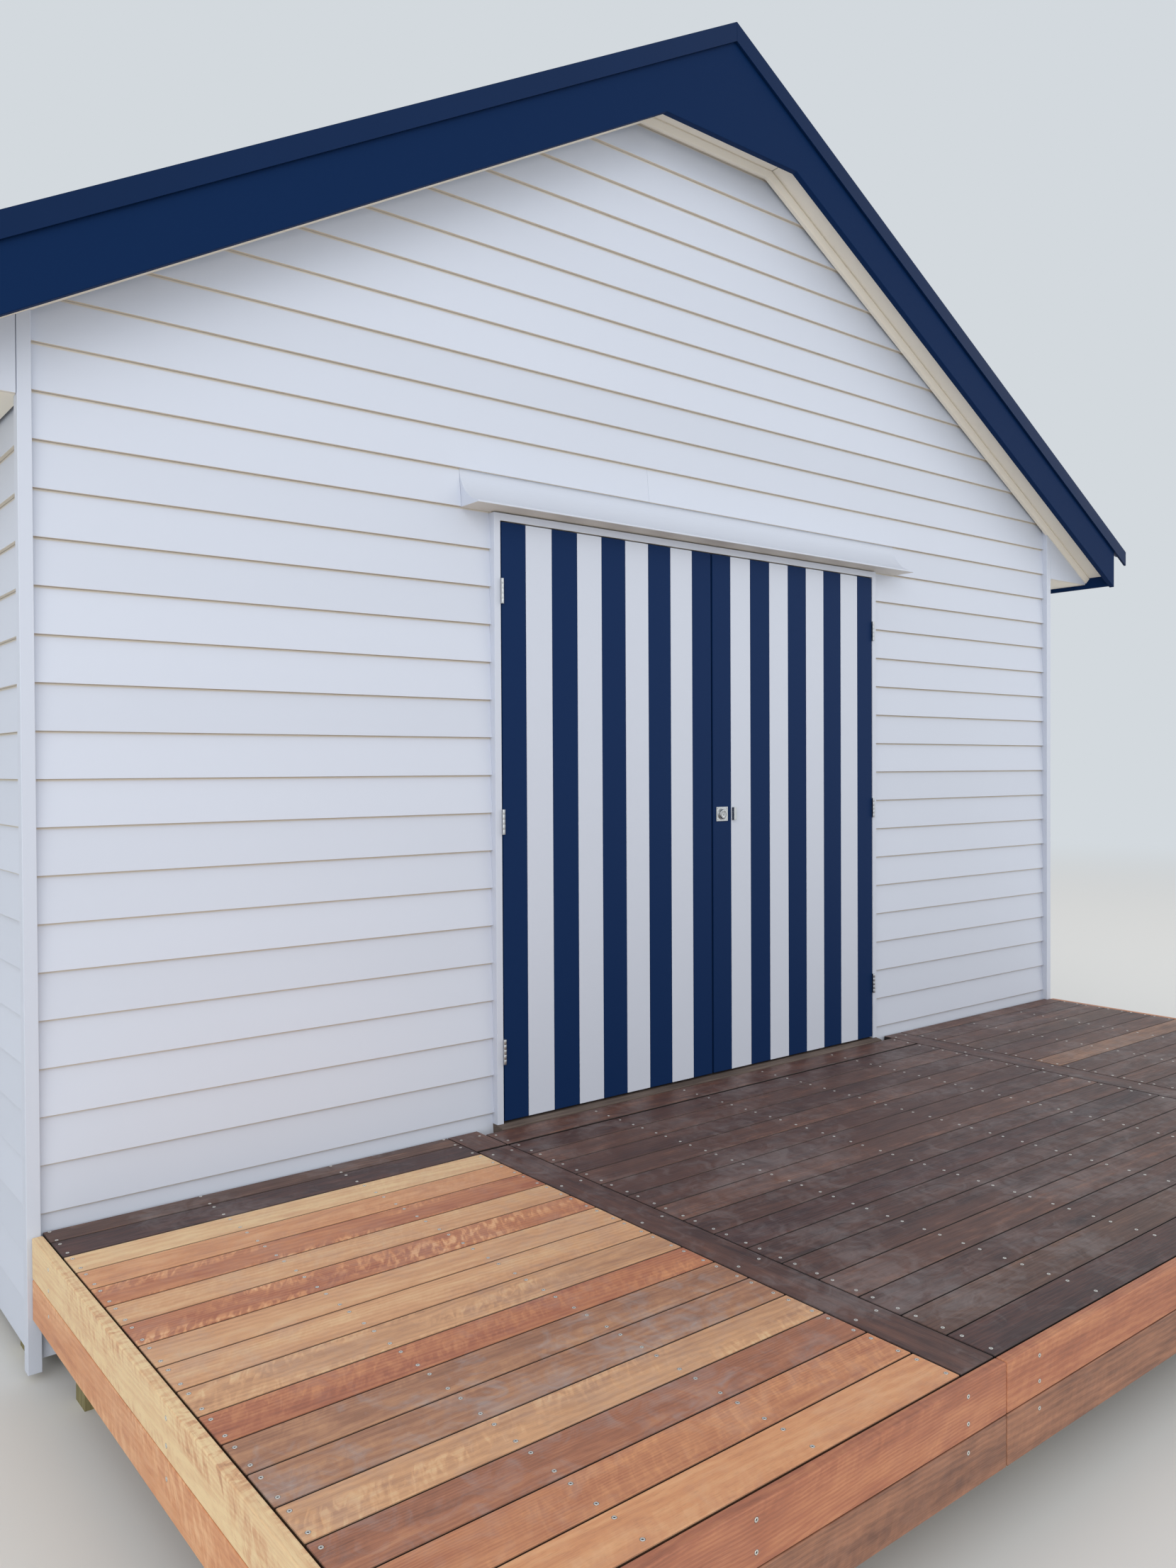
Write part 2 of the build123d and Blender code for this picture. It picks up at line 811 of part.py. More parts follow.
def deck_joist_lines():
    """Centre lines of the joists, one under every line of screws in the three bays and the long boards."""
    half = joist_width / 2
    left_inner, left_outer = long_board_edges(-1)
    right_inner, right_outer = long_board_edges(1)
    left_end = deck_left_x + deck_fascia_thickness
    right_end = deck_right_x - deck_fascia_thickness
    lines = spread(side_joist_count, left_end + half, left_outer - half)
    lines += spread(middle_joist_count, left_inner + middle_joist_inset, right_inner - middle_joist_inset)
    lines += spread(side_joist_count, right_outer + half, right_end - half)
    for side in (-1, 1):
        centre = sum(long_board_edges(side)) / 2
        lines += [centre - long_board_screw_offset, centre + long_board_screw_offset]
    return lines


def deck_joists():
    """Joists under the deck boards, out from the wall."""
    top = deck_height - deck_board_thickness
    half = joist_width / 2
    y_limits = (deck_board_front_y, front_y - sill_nosing - seat)
    z_limits = (top - deck_joist_depth, top)
    return [block((x - half, x + half), y_limits, z_limits) for x in deck_joist_lines()]


def deck_ledger():
    """Ledger on the wall between the corner stops, which holds the joists and carries the sill's nosing."""
    reach = frame_half_width - wall_gap
    bottom = deck_height - deck_board_thickness - deck_joist_depth
    top = sill_z - sill_depth - seat
    return block((-reach, reach), (front_y - sill_nosing, front_y - seat), (bottom, top))


def deck_bearer_lines():
    """Centre lines of the two deck bearers."""
    return (deck_board_front_y + deck_bearer_inset, front_y - deck_bearer_inset)


def deck_bearers():
    """Bearers under the deck joists, along the wall."""
    top = deck_height - deck_board_thickness - deck_joist_depth
    half = bearer_width / 2
    x_limits = (deck_left_x + deck_fascia_thickness, deck_right_x - deck_fascia_thickness)
    z_limits = (top - deck_bearer_depth, top)
    return [block(x_limits, (y - half, y + half), z_limits) for y in deck_bearer_lines()]


def deck_posts():
    """Posts under the deck bearers."""
    top = deck_height - deck_board_thickness - deck_joist_depth - deck_bearer_depth
    half = deck_post_size / 2
    inset = deck_fascia_thickness + deck_post_size
    solids = []
    for x in spread(deck_post_columns, deck_left_x + inset, deck_right_x - inset):
        for y in deck_bearer_lines():
            solids.append(block((x - half, x + half), (y - half, y + half), (0, top)))
    return solids


def build():
    """Every sub-part by its name."""
    return {
        "shed_stumps": shed_stumps(),
        "floor_bearers": floor_bearers(),
        "floor_joists": floor_joists(),
        "floor_sheet": floor_sheet(),
        "front_wall_left": front_wall("left"),
        "front_wall_right": front_wall("right"),
        "front_wall_over_doors": front_wall("over"),
        "left_wall": side_wall(-1),
        "right_wall": side_wall(1),
        "back_wall": back_wall(),
        "front_weatherboards": front_weatherboards(),
        "left_weatherboards": side_weatherboards(-1),
        "right_weatherboards": side_weatherboards(1),
        "back_weatherboards": back_weatherboards(),
        "corner_stops": corner_stops(),
        "rafters": rafters(),
        "ridge_board": ridge_board(),
        "roof_battens": roof_battens(),
        "left_roof_sheet": roof_sheet(-1),
        "right_roof_sheet": roof_sheet(1),
        "ridge_cap": ridge_cap(),
        "barge_boards": barge_boards(),
        "barge_caps": barge_caps(),
        "gable_soffits": gable_soffits(),
        "eave_fascias": eave_fascias(),
        "eave_soffits": eave_soffits(),
        "eave_returns": eave_returns(),
        "door_frame": door_frame(),
        "door_sill": door_sill(),
        "door_hood": door_hood(),
        "left_door": door_leaf(-1),
        "right_door": door_leaf(1),
        "frame_hinge_leaves": frame_hinge_leaves(),
        "hinge_pins": hinge_pins(),
        "left_door_hinge_leaves": door_hinge_leaves(-1),
        "right_door_hinge_leaves": door_hinge_leaves(1),
        "door_lock": door_lock(),
        "deck_boards": deck_boards(),
        "deck_long_boards": deck_long_boards(),
        "deck_side_fascias": deck_side_fascias(),
        "deck_front_fascias": deck_front_fascias(),
        "deck_joists": deck_joists(),
        "deck_ledger": deck_ledger(),
        "deck_bearers": deck_bearers(),
        "deck_posts": deck_posts(),
    }


os.makedirs("parts", exist_ok=True)
for name, shape in build().items():
    if isinstance(shape, list):
        shape = Compound(children=shape)
    export_step(shape, f"parts/{name}.step")
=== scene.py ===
import json
import math
from functools import partial

import bmesh
import bpy
from mathutils import Matrix, Vector


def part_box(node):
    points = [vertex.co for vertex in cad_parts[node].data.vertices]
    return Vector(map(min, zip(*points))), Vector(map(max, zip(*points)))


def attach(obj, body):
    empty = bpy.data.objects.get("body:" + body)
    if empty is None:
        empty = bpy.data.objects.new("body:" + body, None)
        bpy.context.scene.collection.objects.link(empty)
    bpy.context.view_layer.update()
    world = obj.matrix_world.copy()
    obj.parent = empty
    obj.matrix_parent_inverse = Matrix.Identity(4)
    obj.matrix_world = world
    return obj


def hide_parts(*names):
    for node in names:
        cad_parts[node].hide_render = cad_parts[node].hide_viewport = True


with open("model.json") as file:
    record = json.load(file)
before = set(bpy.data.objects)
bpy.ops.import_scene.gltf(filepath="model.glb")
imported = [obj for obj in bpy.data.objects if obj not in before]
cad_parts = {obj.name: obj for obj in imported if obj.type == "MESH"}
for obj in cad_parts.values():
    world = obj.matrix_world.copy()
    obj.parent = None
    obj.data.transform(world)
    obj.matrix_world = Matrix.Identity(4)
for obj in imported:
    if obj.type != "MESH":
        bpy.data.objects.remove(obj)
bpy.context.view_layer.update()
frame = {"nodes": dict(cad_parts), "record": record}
bodyOf = {node: body for body, nodes in frame["record"]["behaviour"]["bodies"].items() for node in nodes}
roofPitch = math.radians(29.5)
roofSlope = math.tan(roofPitch)
print("frame loaded")


# Nodes, materials and meshes
meshing = {
    "mergeDistance": 0.00002,  # a CAD node is loose triangles, whose corners meet within this
    "flatAngle": 0.5,  # degrees up to which two faces are one flat face
    "sharpAngle": 30,  # degrees from which an edge is eased
}


def hexToLinear(code):
    # the linear colour of an sRGB hex value
    parts = [int(code[i:i + 2], 16) / 255 for i in (1, 3, 5)]
    linear = [p / 12.92 if p <= 0.04045 else ((p + 0.055) / 1.055) ** 2.4 for p in parts]
    return (*linear, 1.0)


def addNode(tree, kind, inputs=None, stops=(), **settings):
    # one node with its settings, its colour stops where it is a ramp, and what goes into its inputs:
    # a value, a socket, or a node, which gives its first output
    node = tree.nodes.new(kind)
    for key, value in settings.items():
        setattr(node, key, value)
    for i, (place, code) in enumerate(stops):
        stop = node.color_ramp.elements[i] if i < 2 else node.color_ramp.elements.new(place)
        stop.position = place
        stop.color = hexToLinear(code)
    for key, value in (inputs or {}).items():
        source = value.outputs[0] if isinstance(value, bpy.types.Node) else value
        if isinstance(source, bpy.types.NodeSocket):
            tree.links.new(source, node.inputs[key])
        else:
            node.inputs[key].default_value = source
    return node


def newMaterial(name):
    # an empty material, and what adds a node to it
    material = bpy.data.materials.new(name)
    material.use_nodes = True
    material.node_tree.nodes.clear()
    return material, partial(addNode, material.node_tree)


def newTree(name, sizes):
    # a geometry tree with a named input for each size, what adds a node to it, and its inputs
    tree = bpy.data.node_groups.new(name, "GeometryNodeTree")
    tree.interface.new_socket("Geometry", in_out="INPUT", socket_type="NodeSocketGeometry")
    for label, kind in sizes.items():
        tree.interface.new_socket(label, in_out="INPUT", socket_type="NodeSocket" + kind)
    tree.interface.new_socket("Geometry", in_out="OUTPUT", socket_type="NodeSocketGeometry")
    add = partial(addNode, tree)
    return tree, add, add("NodeGroupInput").outputs


def placed(name, data):
    # an object at the origin, linked to the scene
    made = bpy.data.objects.new(name, data)
    bpy.context.scene.collection.objects.link(made)
    return made


def pointMesh(name, places, facts):
    # one vertex for each place, with the facts of that place as attributes
    mesh = bpy.data.meshes.new(name)
    mesh.from_pydata([tuple(p) for p in places], [], [])
    for label, values in facts.items():
        if isinstance(values[0], float):
            mesh.attributes.new(label, "FLOAT", "POINT").data.foreach_set("value", values)
        else:
            flat = [float(c) for v in values for c in v]
            mesh.attributes.new(label, "FLOAT_VECTOR", "POINT").data.foreach_set("vector", flat)
    return mesh


def grow(name, tree, mesh, values, placing=Matrix()):
    # runs a geometry tree on a mesh and gives back a plain mesh object at the origin
    maker = placed(name + "_maker", mesh)
    modifier = maker.modifiers.new(tree.name, "NODES")
    modifier.node_group = tree
    for item in tree.interface.items_tree:
        if item.in_out == "INPUT" and item.name in values:
            modifier[item.identifier] = values[item.name]
    graph = bpy.context.evaluated_depsgraph_get()
    made = bpy.data.meshes.new_from_object(
        maker.evaluated_get(graph), preserve_all_data_layers=True, depsgraph=graph
    )
    maker.modifiers.clear()
    bpy.data.objects.remove(maker)
    made.transform(placing)
    made.name = name
    return placed(name, made)


def joinMeshes(name, parts):
    # several plain mesh objects as one
    bpy.ops.object.select_all(action="DESELECT")
    for part in parts:
        part.select_set(True)
    bpy.context.view_layer.objects.active = parts[0]
    bpy.ops.object.join()
    parts[0].name = name
    parts[0].data.name = name
    return parts[0]


def meshPiece(name, shape, material):
    # an object from a finished bmesh
    made = bpy.data.meshes.new(name)
    shape.to_mesh(made)
    shape.free()
    made.materials.append(material)
    return placed(name, made)


def skinned(name, solids, material):
    # closed solids, each from rings of corners that are joined in order and capped at both ends
    shape = bmesh.new()
    for outlines in solids:
        rings = [[shape.verts.new(corner) for corner in outline] for outline in outlines]
        shape.faces.new(rings[0])
        shape.faces.new(rings[-1][::-1])
        for first, second in zip(rings, rings[1:]):
            for i in range(len(first)):
                j = (i + 1) % len(first)
                shape.faces.new((first[j], first[i], second[i], second[j]))
    bmesh.ops.recalc_face_normals(shape, faces=shape.faces)
    return meshPiece(name, shape, material)


def extruded(name, outlines, material):
    # prisms along Y from (low, high, [(x, z) ...]), each with its corners in order round
    solids = [[[(x, y, z) for x, z in corners] for y in (low, high)] for low, high, corners in outlines]
    return skinned(name, solids, material)


def lathe(name, profile, steps, material):
    # a turned shape round Z from (radius, height) points, given from the top middle outwards and down
    shape = bmesh.new()
    rings = []
    for radius, height in profile:
        turns = [2 * math.pi * i / steps for i in range(steps if radius else 1)]
        rings.append([shape.verts.new((radius * math.cos(t), radius * math.sin(t), height)) for t in turns])
    for upper, lower in zip(rings, rings[1:]):
        for i in range(steps):
            j = (i + 1) % steps
            before = (upper[i % len(upper)], lower[i % len(lower)])
            after = (lower[j % len(lower)], upper[j % len(upper)])
            unique = list(dict.fromkeys(before + after))
            if len(unique) > 2:
                shape.faces.new(unique)
    bmesh.ops.recalc_face_normals(shape, faces=shape.faces)
    return meshPiece(name, shape, material)


def rounded(piece, width, segments=2):
    # softens every sharp edge of a piece
    bevel = piece.modifiers.new("softEdges", "BEVEL")
    bevel.width = width
    bevel.segments = segments
    bevel.limit_method = "ANGLE"
    bevel.angle_limit = math.radians(meshing["sharpAngle"])
    return piece


def settle(piece, node=None):
    # the piece stands for a CAD node and moves with its body; one that stands for none is fixed to the shed
    if node:
        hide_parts(node)
    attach(piece, bodyOf.get(node, "shed"))


def merged(node):
    # a copy of a CAD node's mesh, joined at its corners
    copy = bmesh.new()
    copy.from_mesh(frame["nodes"][node].data)
    bmesh.ops.remove_doubles(copy, verts=copy.verts, dist=meshing["mergeDistance"])
    return copy


def solidBoxes(node):
    # lowest and highest corner of every solid in a CAD node
    copy = merged(node)
    seen = set()
    boxes = []
    for first in copy.verts:
        if first in seen:
            continue
        seen.add(first)
        island = [first]
        for vert in island:
            for edge in vert.link_edges:
                other = edge.other_vert(vert)
                if other not in seen:
                    seen.add(other)
                    island.append(other)
        corners = [v.co for v in island]
        low = Vector([min(c[i] for c in corners) for i in range(3)])
        high = Vector([max(c[i] for c in corners) for i in range(3)])
        boxes.append((low, high))
    copy.free()
    return sorted(boxes, key=lambda b: [round(c, 4) for c in (*b[0], *b[1])])


# Finishes; the sizes of marks are in millimetres, and 1000 over a size is how often it repeats in a metre
paint = {
    "white": "#D2D9E7",  # cool white, with a blue cast that is painted shade: the cast of open sky on white paint
    "underLapBounceLight": "#DACEBB",  # painted warm bounce light from the ground on the underside of a lap
    # painted warm bounce light from the ground on the undersides of trim
    "underTrimBounceLight": "#E9E1D4",
    "lapGlow": "#D9D2C5",  # warm light on the face just under each lap
    "lapShade": "#A69C91",  # painted shade: the fine dark line where a lap meets the board below
    "glowWidth": 9,
    "shadeWidth": 1.4,
    # a warm off-white made paler than the walls' white: painted bounce light from the ground on a surface in
    # shade
    "soffit": "#FAF2E2",
    "navy": "#07264F",
    "doorNavy": "#0E2B56",
    "patch": 1430,  # broad weathering
    "wave": 111,  # long waves of the film
    "stipple": 3,  # roller marks, drawn coarser than the real 1 mm so that they show
}
lapGrid = {"foot": 0.057, "cover": 0.150}  # level of the lowest lap, and the cover of a board, in metres


def rolledAcrylic(name, colour, roughness=0.5, specular=0.5, under=None, lapped=False):
    # Exterior acrylic rolled on timber: an even low sheen with a fine stipple and faint long waves; where
    # asked, painted light and shade at the laps and painted bounce light on faces that look down
    material, add = newMaterial(name)
    place = add("ShaderNodeTexCoord").outputs["Object"]
    tone = add("ShaderNodeAttribute", attribute_name="boardTone").outputs["Fac"]
    patch = add("ShaderNodeTexNoise", {"Vector": place, "Scale": 1000 / paint["patch"], "Detail": 3.0})
    shade = add("ShaderNodeMath", {0: patch, 1: tone}, operation="ADD")
    lift = add("ShaderNodeMapRange", {0: shade, 1: 0.3, 2: 1.4, 3: 0.965, 4: 1.02})
    base = add("ShaderNodeRGB")
    base.outputs[0].default_value = hexToLinear(colour)
    coat = base.outputs[0]
    if lapped:
        # how far below the next lap a point of the face lies
        level = add("ShaderNodeSeparateXYZ", {0: place}).outputs[2]
        above = add("ShaderNodeMath", {0: level, 1: lapGrid["foot"]}, operation="SUBTRACT")
        fromFoot = add("ShaderNodeMath", {0: above, 1: lapGrid["cover"]}, operation="FLOORED_MODULO")
        drop = add("ShaderNodeMath", {0: lapGrid["cover"], 1: fromFoot}, operation="SUBTRACT")
        # painted light and shade at each lap: warm light on the face just under it, and a fine shade line
        # where it meets the board
        for width, tint in (("glowWidth", "lapGlow"), ("shadeWidth", "lapShade")):
            reach = paint[width] / 1000
            band = add("ShaderNodeMapRange", {0: drop, 1: 0.4 * reach, 2: reach, 3: 1.0, 4: 0.0})
            mixed = add("ShaderNodeMix", {0: band, 6: coat, 7: hexToLinear(paint[tint])}, data_type="RGBA")
            coat = mixed.outputs[2]
    # painted warm bounce light from the ground on every face that looks down
    if under:
        facing = add("ShaderNodeSeparateXYZ", {0: add("ShaderNodeNewGeometry").outputs["Normal"]})
        below = add("ShaderNodeMapRange", {0: facing.outputs[2], 1: -0.5, 2: -0.9, 3: 0.0, 4: 1.0})
        mixed = add("ShaderNodeMix", {0: below, 6: coat, 7: hexToLinear(under)}, data_type="RGBA")
        coat = mixed.outputs[2]
    grit = add("ShaderNodeTexNoise", {"Vector": place, "Scale": 1000 / paint["stipple"], "Detail": 2.0})
    wave = add("ShaderNodeTexNoise", {"Vector": place, "Scale": 1000 / paint["wave"], "Detail": 2.0})
    film = add("ShaderNodeMath", {0: wave, 1: 6.0, 2: grit}, operation="MULTIPLY_ADD")
    sheen = {0: grit, 1: 0.3, 2: 0.7, 3: roughness - 0.06, 4: roughness + 0.06}
    skin = add("ShaderNodeBsdfPrincipled", {
        "Base Color": add("ShaderNodeVectorMath", {0: coat, 3: lift}, operation="SCALE"),
        "Roughness": add("ShaderNodeMapRange", sheen),
        "Normal": add("ShaderNodeBump", {"Height": film, "Strength": 0.35, "Distance": 0.0002}),
        "IOR": 1.48,
        "Specular IOR Level": specular,
    })
    add("ShaderNodeOutputMaterial", {"Surface": skin})
    return material


steel = {
    "navy": "#0C264C",
    "patch": 770,
    "peel": 3.85,
    "brushLine": (0.667, 0.667, 33.3),  # fine lines that run upright
    "grime": 1.1,
    # painted shade with dirt: the dark of a deep recess, put on faces that are barely sunk
    "recess": [(0.3, "#15120F"), (0.7, "#2E2823")],
}


def coatedSteel(name, colour):
    # Prepainted steel sheet, folded: a smooth satin coat with a very fine orange peel
    material, add = newMaterial(name)
    place = add("ShaderNodeTexCoord").outputs["Object"]
    patch = add("ShaderNodeTexNoise", {"Vector": place, "Scale": 1000 / steel["patch"], "Detail": 4.0})
    lift = add("ShaderNodeMapRange", {0: patch, 1: 0.3, 2: 0.7, 3: 0.93, 4: 1.06})
    peel = add("ShaderNodeTexNoise", {"Vector": place, "Scale": 1000 / steel["peel"], "Detail": 1.0})
    skin = add("ShaderNodeBsdfPrincipled", {
        "Base Color": add("ShaderNodeVectorMath", {0: hexToLinear(colour)[:3], 3: lift}, operation="SCALE"),
        "Roughness": add("ShaderNodeMapRange", {0: patch, 1: 0.3, 2: 0.7, 3: 0.36, 4: 0.5}),
        "Normal": add("ShaderNodeBump", {"Height": peel, "Strength": 0.2, "Distance": 0.0001}),
        "IOR": 1.5,
        "Specular IOR Level": 0.1,
    })
    add("ShaderNodeOutputMaterial", {"Surface": skin})
    return material


def worksSteel(name, dark, light, roughness):
    # Stainless steel, brushed or tumbled: a grey metal with fine upright lines and soft reflections
    material, add = newMaterial(name)
    place = add("ShaderNodeTexCoord").outputs["Object"]
    repeats = [1000 / size for size in steel["brushLine"]]
    lines = add("ShaderNodeVectorMath", {0: place, 1: repeats}, operation="MULTIPLY")
    brush = add("ShaderNodeTexNoise", {"Vector": lines, "Scale": 1.0, "Detail": 2.0})
    sheen = {0: brush, 1: 0.3, 2: 0.7, 3: roughness - 0.08, 4: roughness + 0.08}
    skin = add("ShaderNodeBsdfPrincipled", {
        "Base Color": add("ShaderNodeValToRGB", {0: brush}, stops=[(0.3, dark), (0.7, light)]),
        "Roughness": add("ShaderNodeMapRange", sheen),
        "Normal": add("ShaderNodeBump", {"Height": brush, "Strength": 0.15, "Distance": 0.0001}),
        "Metallic": 1.0,
    })
    add("ShaderNodeOutputMaterial", {"Surface": skin})
    return material


def darkRecess():
    # The drive recess of a screw: painted shade, dark as the shadow deep in a real recess, with fine dirt in
    # it
    material, add = newMaterial("paintedShadeAndDirtRecess")
    place = add("ShaderNodeTexCoord").outputs["Object"]
    dirt = add("ShaderNodeTexNoise", {"Vector": place, "Scale": 1000 / steel["grime"]})
    tint = add("ShaderNodeValToRGB", {0: dirt}, stops=steel["recess"])
    skin = add("ShaderNodeBsdfPrincipled", {"Base Color": tint, "Roughness": 0.7})
    add("ShaderNodeOutputMaterial", {"Surface": skin})
    return material


wood = {
    "brown": [(0.0, "#EFD3A4"), (0.25, "#D9A97F"), (0.5, "#A67B60"), (0.75, "#64493E"), (1.0, "#3B2C2A")],
    "red": [(0.0, "#EDB98B"), (0.25, "#D7966A"), (0.5, "#AE6C50"), (0.75, "#6C463C"), (1.0, "#43302F")],
    "dust": "#A9A3A3",
    "dustPatch": 417,
    "dustWisp": 76.9,
    # where in its log a board may be sawn, in metres along, across and out from the heart
    "sawnFrom": (0.0, -0.08, 0.03),
    "sawnTo": (40.0, 0.08, 0.15),
    "ringSpacing": 7.5,
    "lean": 0.9,  # degrees between the board and the heart of its log, which draws the arched figure
    "wander": (909, 200, 200),  # length, width and depth of the grain's slow bends
    "rippleTurn": 28.0,
    "rippleSize": (17, 60, 50),
    # length, width and depth of the marks in each layer of the grain, its detail and its place in the noise
    "layers": {
        "streak": ((1667, 62.5, 62.5), 3.0, 3.0),
        "fibre": ((125, 1.923, 1.923), 3.0, 7.0),  # real fibres are finer, and would not show
        "cloud": ((111.1, 38.46, 38.46), 3.0, 13.0),
        "pore": ((22.22, 1.053, 1.053), 1.0, 11.0),
        "where": ((666.7, 111.1, 111.1), 2.0, 5.0),
    },
    # how far each layer moves the tone
    "moves": {"streak": 0.15, "rings": 0.055, "fibre": 0.08, "cloud": 0.14},
}


def dressedHardwood(name, roughness=0.5):
    # Hardwood decking, dressed and barely oiled: arched rings, long fibres, short pores, pale ripples
    # and dusty scuffs, with painted shade on the sides of each board
    material, add = newMaterial(name)
    facts = {}
    for label in ("grainPlace", "look", "through", "ripple", "sideShade"):
        facts[label] = add("ShaderNodeAttribute", attribute_name=label).outputs
    place = facts["grainPlace"]["Vector"]
    tone, redness, dustiness = add("ShaderNodeSeparateXYZ", {0: facts["look"]["Vector"]}).outputs
    repeats = [1000 / size for size in wood["wander"]]
    slow = add("ShaderNodeVectorMath", {0: place, 1: repeats}, operation="MULTIPLY")
    wander = add("ShaderNodeTexNoise", {"Vector": slow, "Scale": 1.0})
    shift = add("ShaderNodeMapRange", {0: wander, 3: -0.02, 4: 0.02})
    offset = add("ShaderNodeCombineXYZ", {1: shift, 2: shift})
    bent = add("ShaderNodeVectorMath", {0: place, 1: offset}, operation="ADD")
    layers = {}
    for label, (sizes, detail, start) in wood["layers"].items():
        repeats = [1000 / size for size in sizes]
        spread = add("ShaderNodeVectorMath", {0: bent, 1: repeats, 2: (start,) * 3}, operation="MULTIPLY_ADD")
        layers[label] = add("ShaderNodeTexNoise", {"Vector": spread, "Scale": 1.0, "Detail": detail})
    lean = math.radians(wood["lean"])
    leant = add("ShaderNodeMapping", {"Vector": bent, "Rotation": (0.0, lean, lean / 3)})
    # a wave texture of scale 1 draws a ring every tenth of pi metres
    ringed = {"Vector": leant, "Scale": 100 * math.pi / wood["ringSpacing"]}
    ringed |= {"Distortion": 3.0, "Detail": 3.0, "Detail Scale": 0.35}
    rings = add("ShaderNodeTexWave", ringed, wave_type="RINGS", rings_direction="X")
    layers["rings"] = rings.outputs[1]
    for label, amount in wood["moves"].items():
        centred = {0: layers[label], 1: 0.25, 2: 0.75, 3: -amount / 2, 4: amount / 2}
        tone = add("ShaderNodeMath", {0: tone, 1: add("ShaderNodeMapRange", centred)}, operation="ADD")
    # ripples: short pale or dark flames that lean across the board, in patches
    turn = (0.0, 0.0, math.radians(-wood["rippleTurn"]))
    rippleSize = [size / 1000 for size in wood["rippleSize"]]
    turned = add(
        "ShaderNodeMapping", {"Vector": bent, "Rotation": turn, "Scale": rippleSize}, vector_type="TEXTURE"
    )
    flames = add("ShaderNodeTexNoise", {"Vector": turned, "Scale": 1.0, "Detail": 2.5, "Distortion": 0.7})
    flame = add("ShaderNodeMapRange", {0: flames, 1: 0.44, 2: 0.64, 3: 0.0, 4: 0.36})
    patch = add("ShaderNodeMapRange", {0: layers["where"], 1: 0.40, 2: 0.60})
    strength = add("ShaderNodeMath", {0: patch, 1: facts["ripple"]["Fac"]}, operation="MULTIPLY")
    lift = add("ShaderNodeMath", {0: flame, 1: strength}, operation="MULTIPLY")
    tone = add("ShaderNodeMath", {0: tone, 1: lift}, operation="SUBTRACT")
    brown = add("ShaderNodeValToRGB", {0: tone}, stops=wood["brown"])
    red = add("ShaderNodeValToRGB", {0: tone}, stops=wood["red"])
    timber = add("ShaderNodeMix", {0: redness, 6: brown, 7: red}, data_type="RGBA")
    # pores: short dark dashes
    dash = add("ShaderNodeMapRange", {0: layers["pore"], 1: 0.60, 2: 0.72, 3: 1.0, 4: 0.82})
    pored = add("ShaderNodeVectorMath", {0: timber.outputs[2], 3: dash}, operation="SCALE")
    # dust and scuffs lie over the boards in soft wisps
    spot = add("ShaderNodeTexCoord").outputs["Object"]
    broad = add("ShaderNodeTexNoise", {"Vector": spot, "Scale": 1000 / wood["dustPatch"], "Detail": 3.0})
    wispy = {"Vector": spot, "Scale": 1000 / wood["dustWisp"], "Detail": 7.0}
    wispy |= {"Roughness": 0.62, "Distortion": 1.3}
    both = add("ShaderNodeMath", {0: broad, 1: add("ShaderNodeTexNoise", wispy)}, operation="ADD")
    settled = add("ShaderNodeMapRange", {0: both, 1: 0.96, 2: 1.30})
    dusty = add("ShaderNodeMath", {0: settled, 1: dustiness}, operation="MULTIPLY")
    dusted = add("ShaderNodeMix", {0: dusty, 6: pored, 7: hexToLinear(wood["dust"])}, data_type="RGBA")
    # painted shade: the sides and eased edges of a board are darkened, for the shade down in the gaps between
    # boards
    normal = add("ShaderNodeNewGeometry").outputs["Normal"]
    square = add("ShaderNodeVectorMath", {0: normal, 1: facts["through"]["Vector"]}, operation="DOT_PRODUCT")
    flat = add("ShaderNodeMath", {0: square.outputs["Value"]}, operation="ABSOLUTE")
    dim = add("ShaderNodeMapRange", {0: flat, 1: 0.45, 2: 0.97, 3: 0.08, 4: 1.0})
    kept = add("ShaderNodeMix", {0: facts["sideShade"]["Fac"], 2: 1.0, 3: dim}, data_type="FLOAT")
    ridged = {0: layers["rings"], 1: 0.15, 2: layers["fibre"]}
    relief = add("ShaderNodeMath", ridged, operation="MULTIPLY_ADD")
    sheen = {0: layers["fibre"], 1: 0.3, 2: 0.7, 3: roughness - 0.08, 4: roughness + 0.1}
    skin = add("ShaderNodeBsdfPrincipled", {
        "Base Color": add("ShaderNodeVectorMath", {0: dusted.outputs[2], 3: kept}, operation="SCALE"),
        "Roughness": add("ShaderNodeMapRange", sheen),
        "Normal": add("ShaderNodeBump", {"Height": relief, "Strength": 0.25, "Distance": 0.0004}),
        "IOR": 1.47,
    })
    add("ShaderNodeOutputMaterial", {"Surface": skin})
    return material


sawn = {
    "fibreLength": 200,
    "fibreWidth": 4.55,
    "patch": 455,
}


def sawnTimber(name, light, dark, along):
    # Rough-sawn timber: fibres along the axis that is given, and weather in broad patches
    material, add = newMaterial(name)
    place = add("ShaderNodeTexCoord").outputs["Object"]
    repeats = [1000 / sawn["fibreLength" if axis == along else "fibreWidth"] for axis in range(3)]
    spread = add("ShaderNodeVectorMath", {0: place, 1: repeats}, operation="MULTIPLY")
    fibre = add("ShaderNodeTexNoise", {"Vector": spread, "Scale": 1.0, "Detail": 3.0})
    patch = add("ShaderNodeTexNoise", {"Vector": place, "Scale": 1000 / sawn["patch"], "Detail": 4.0})
    blend = add("ShaderNodeMix", {0: 0.45, 2: fibre, 3: patch}, data_type="FLOAT")
    skin = add("ShaderNodeBsdfPrincipled", {
        "Base Color": add("ShaderNodeValToRGB", {0: blend}, stops=[(0.35, dark), (0.65, light)]),
        "Normal": add("ShaderNodeBump", {"Height": fibre, "Strength": 0.5, "Distance": 0.0008}),
        "Roughness": 0.85,
        "IOR": 1.45,
    })
    add("ShaderNodeOutputMaterial", {"Surface": skin})
    return material


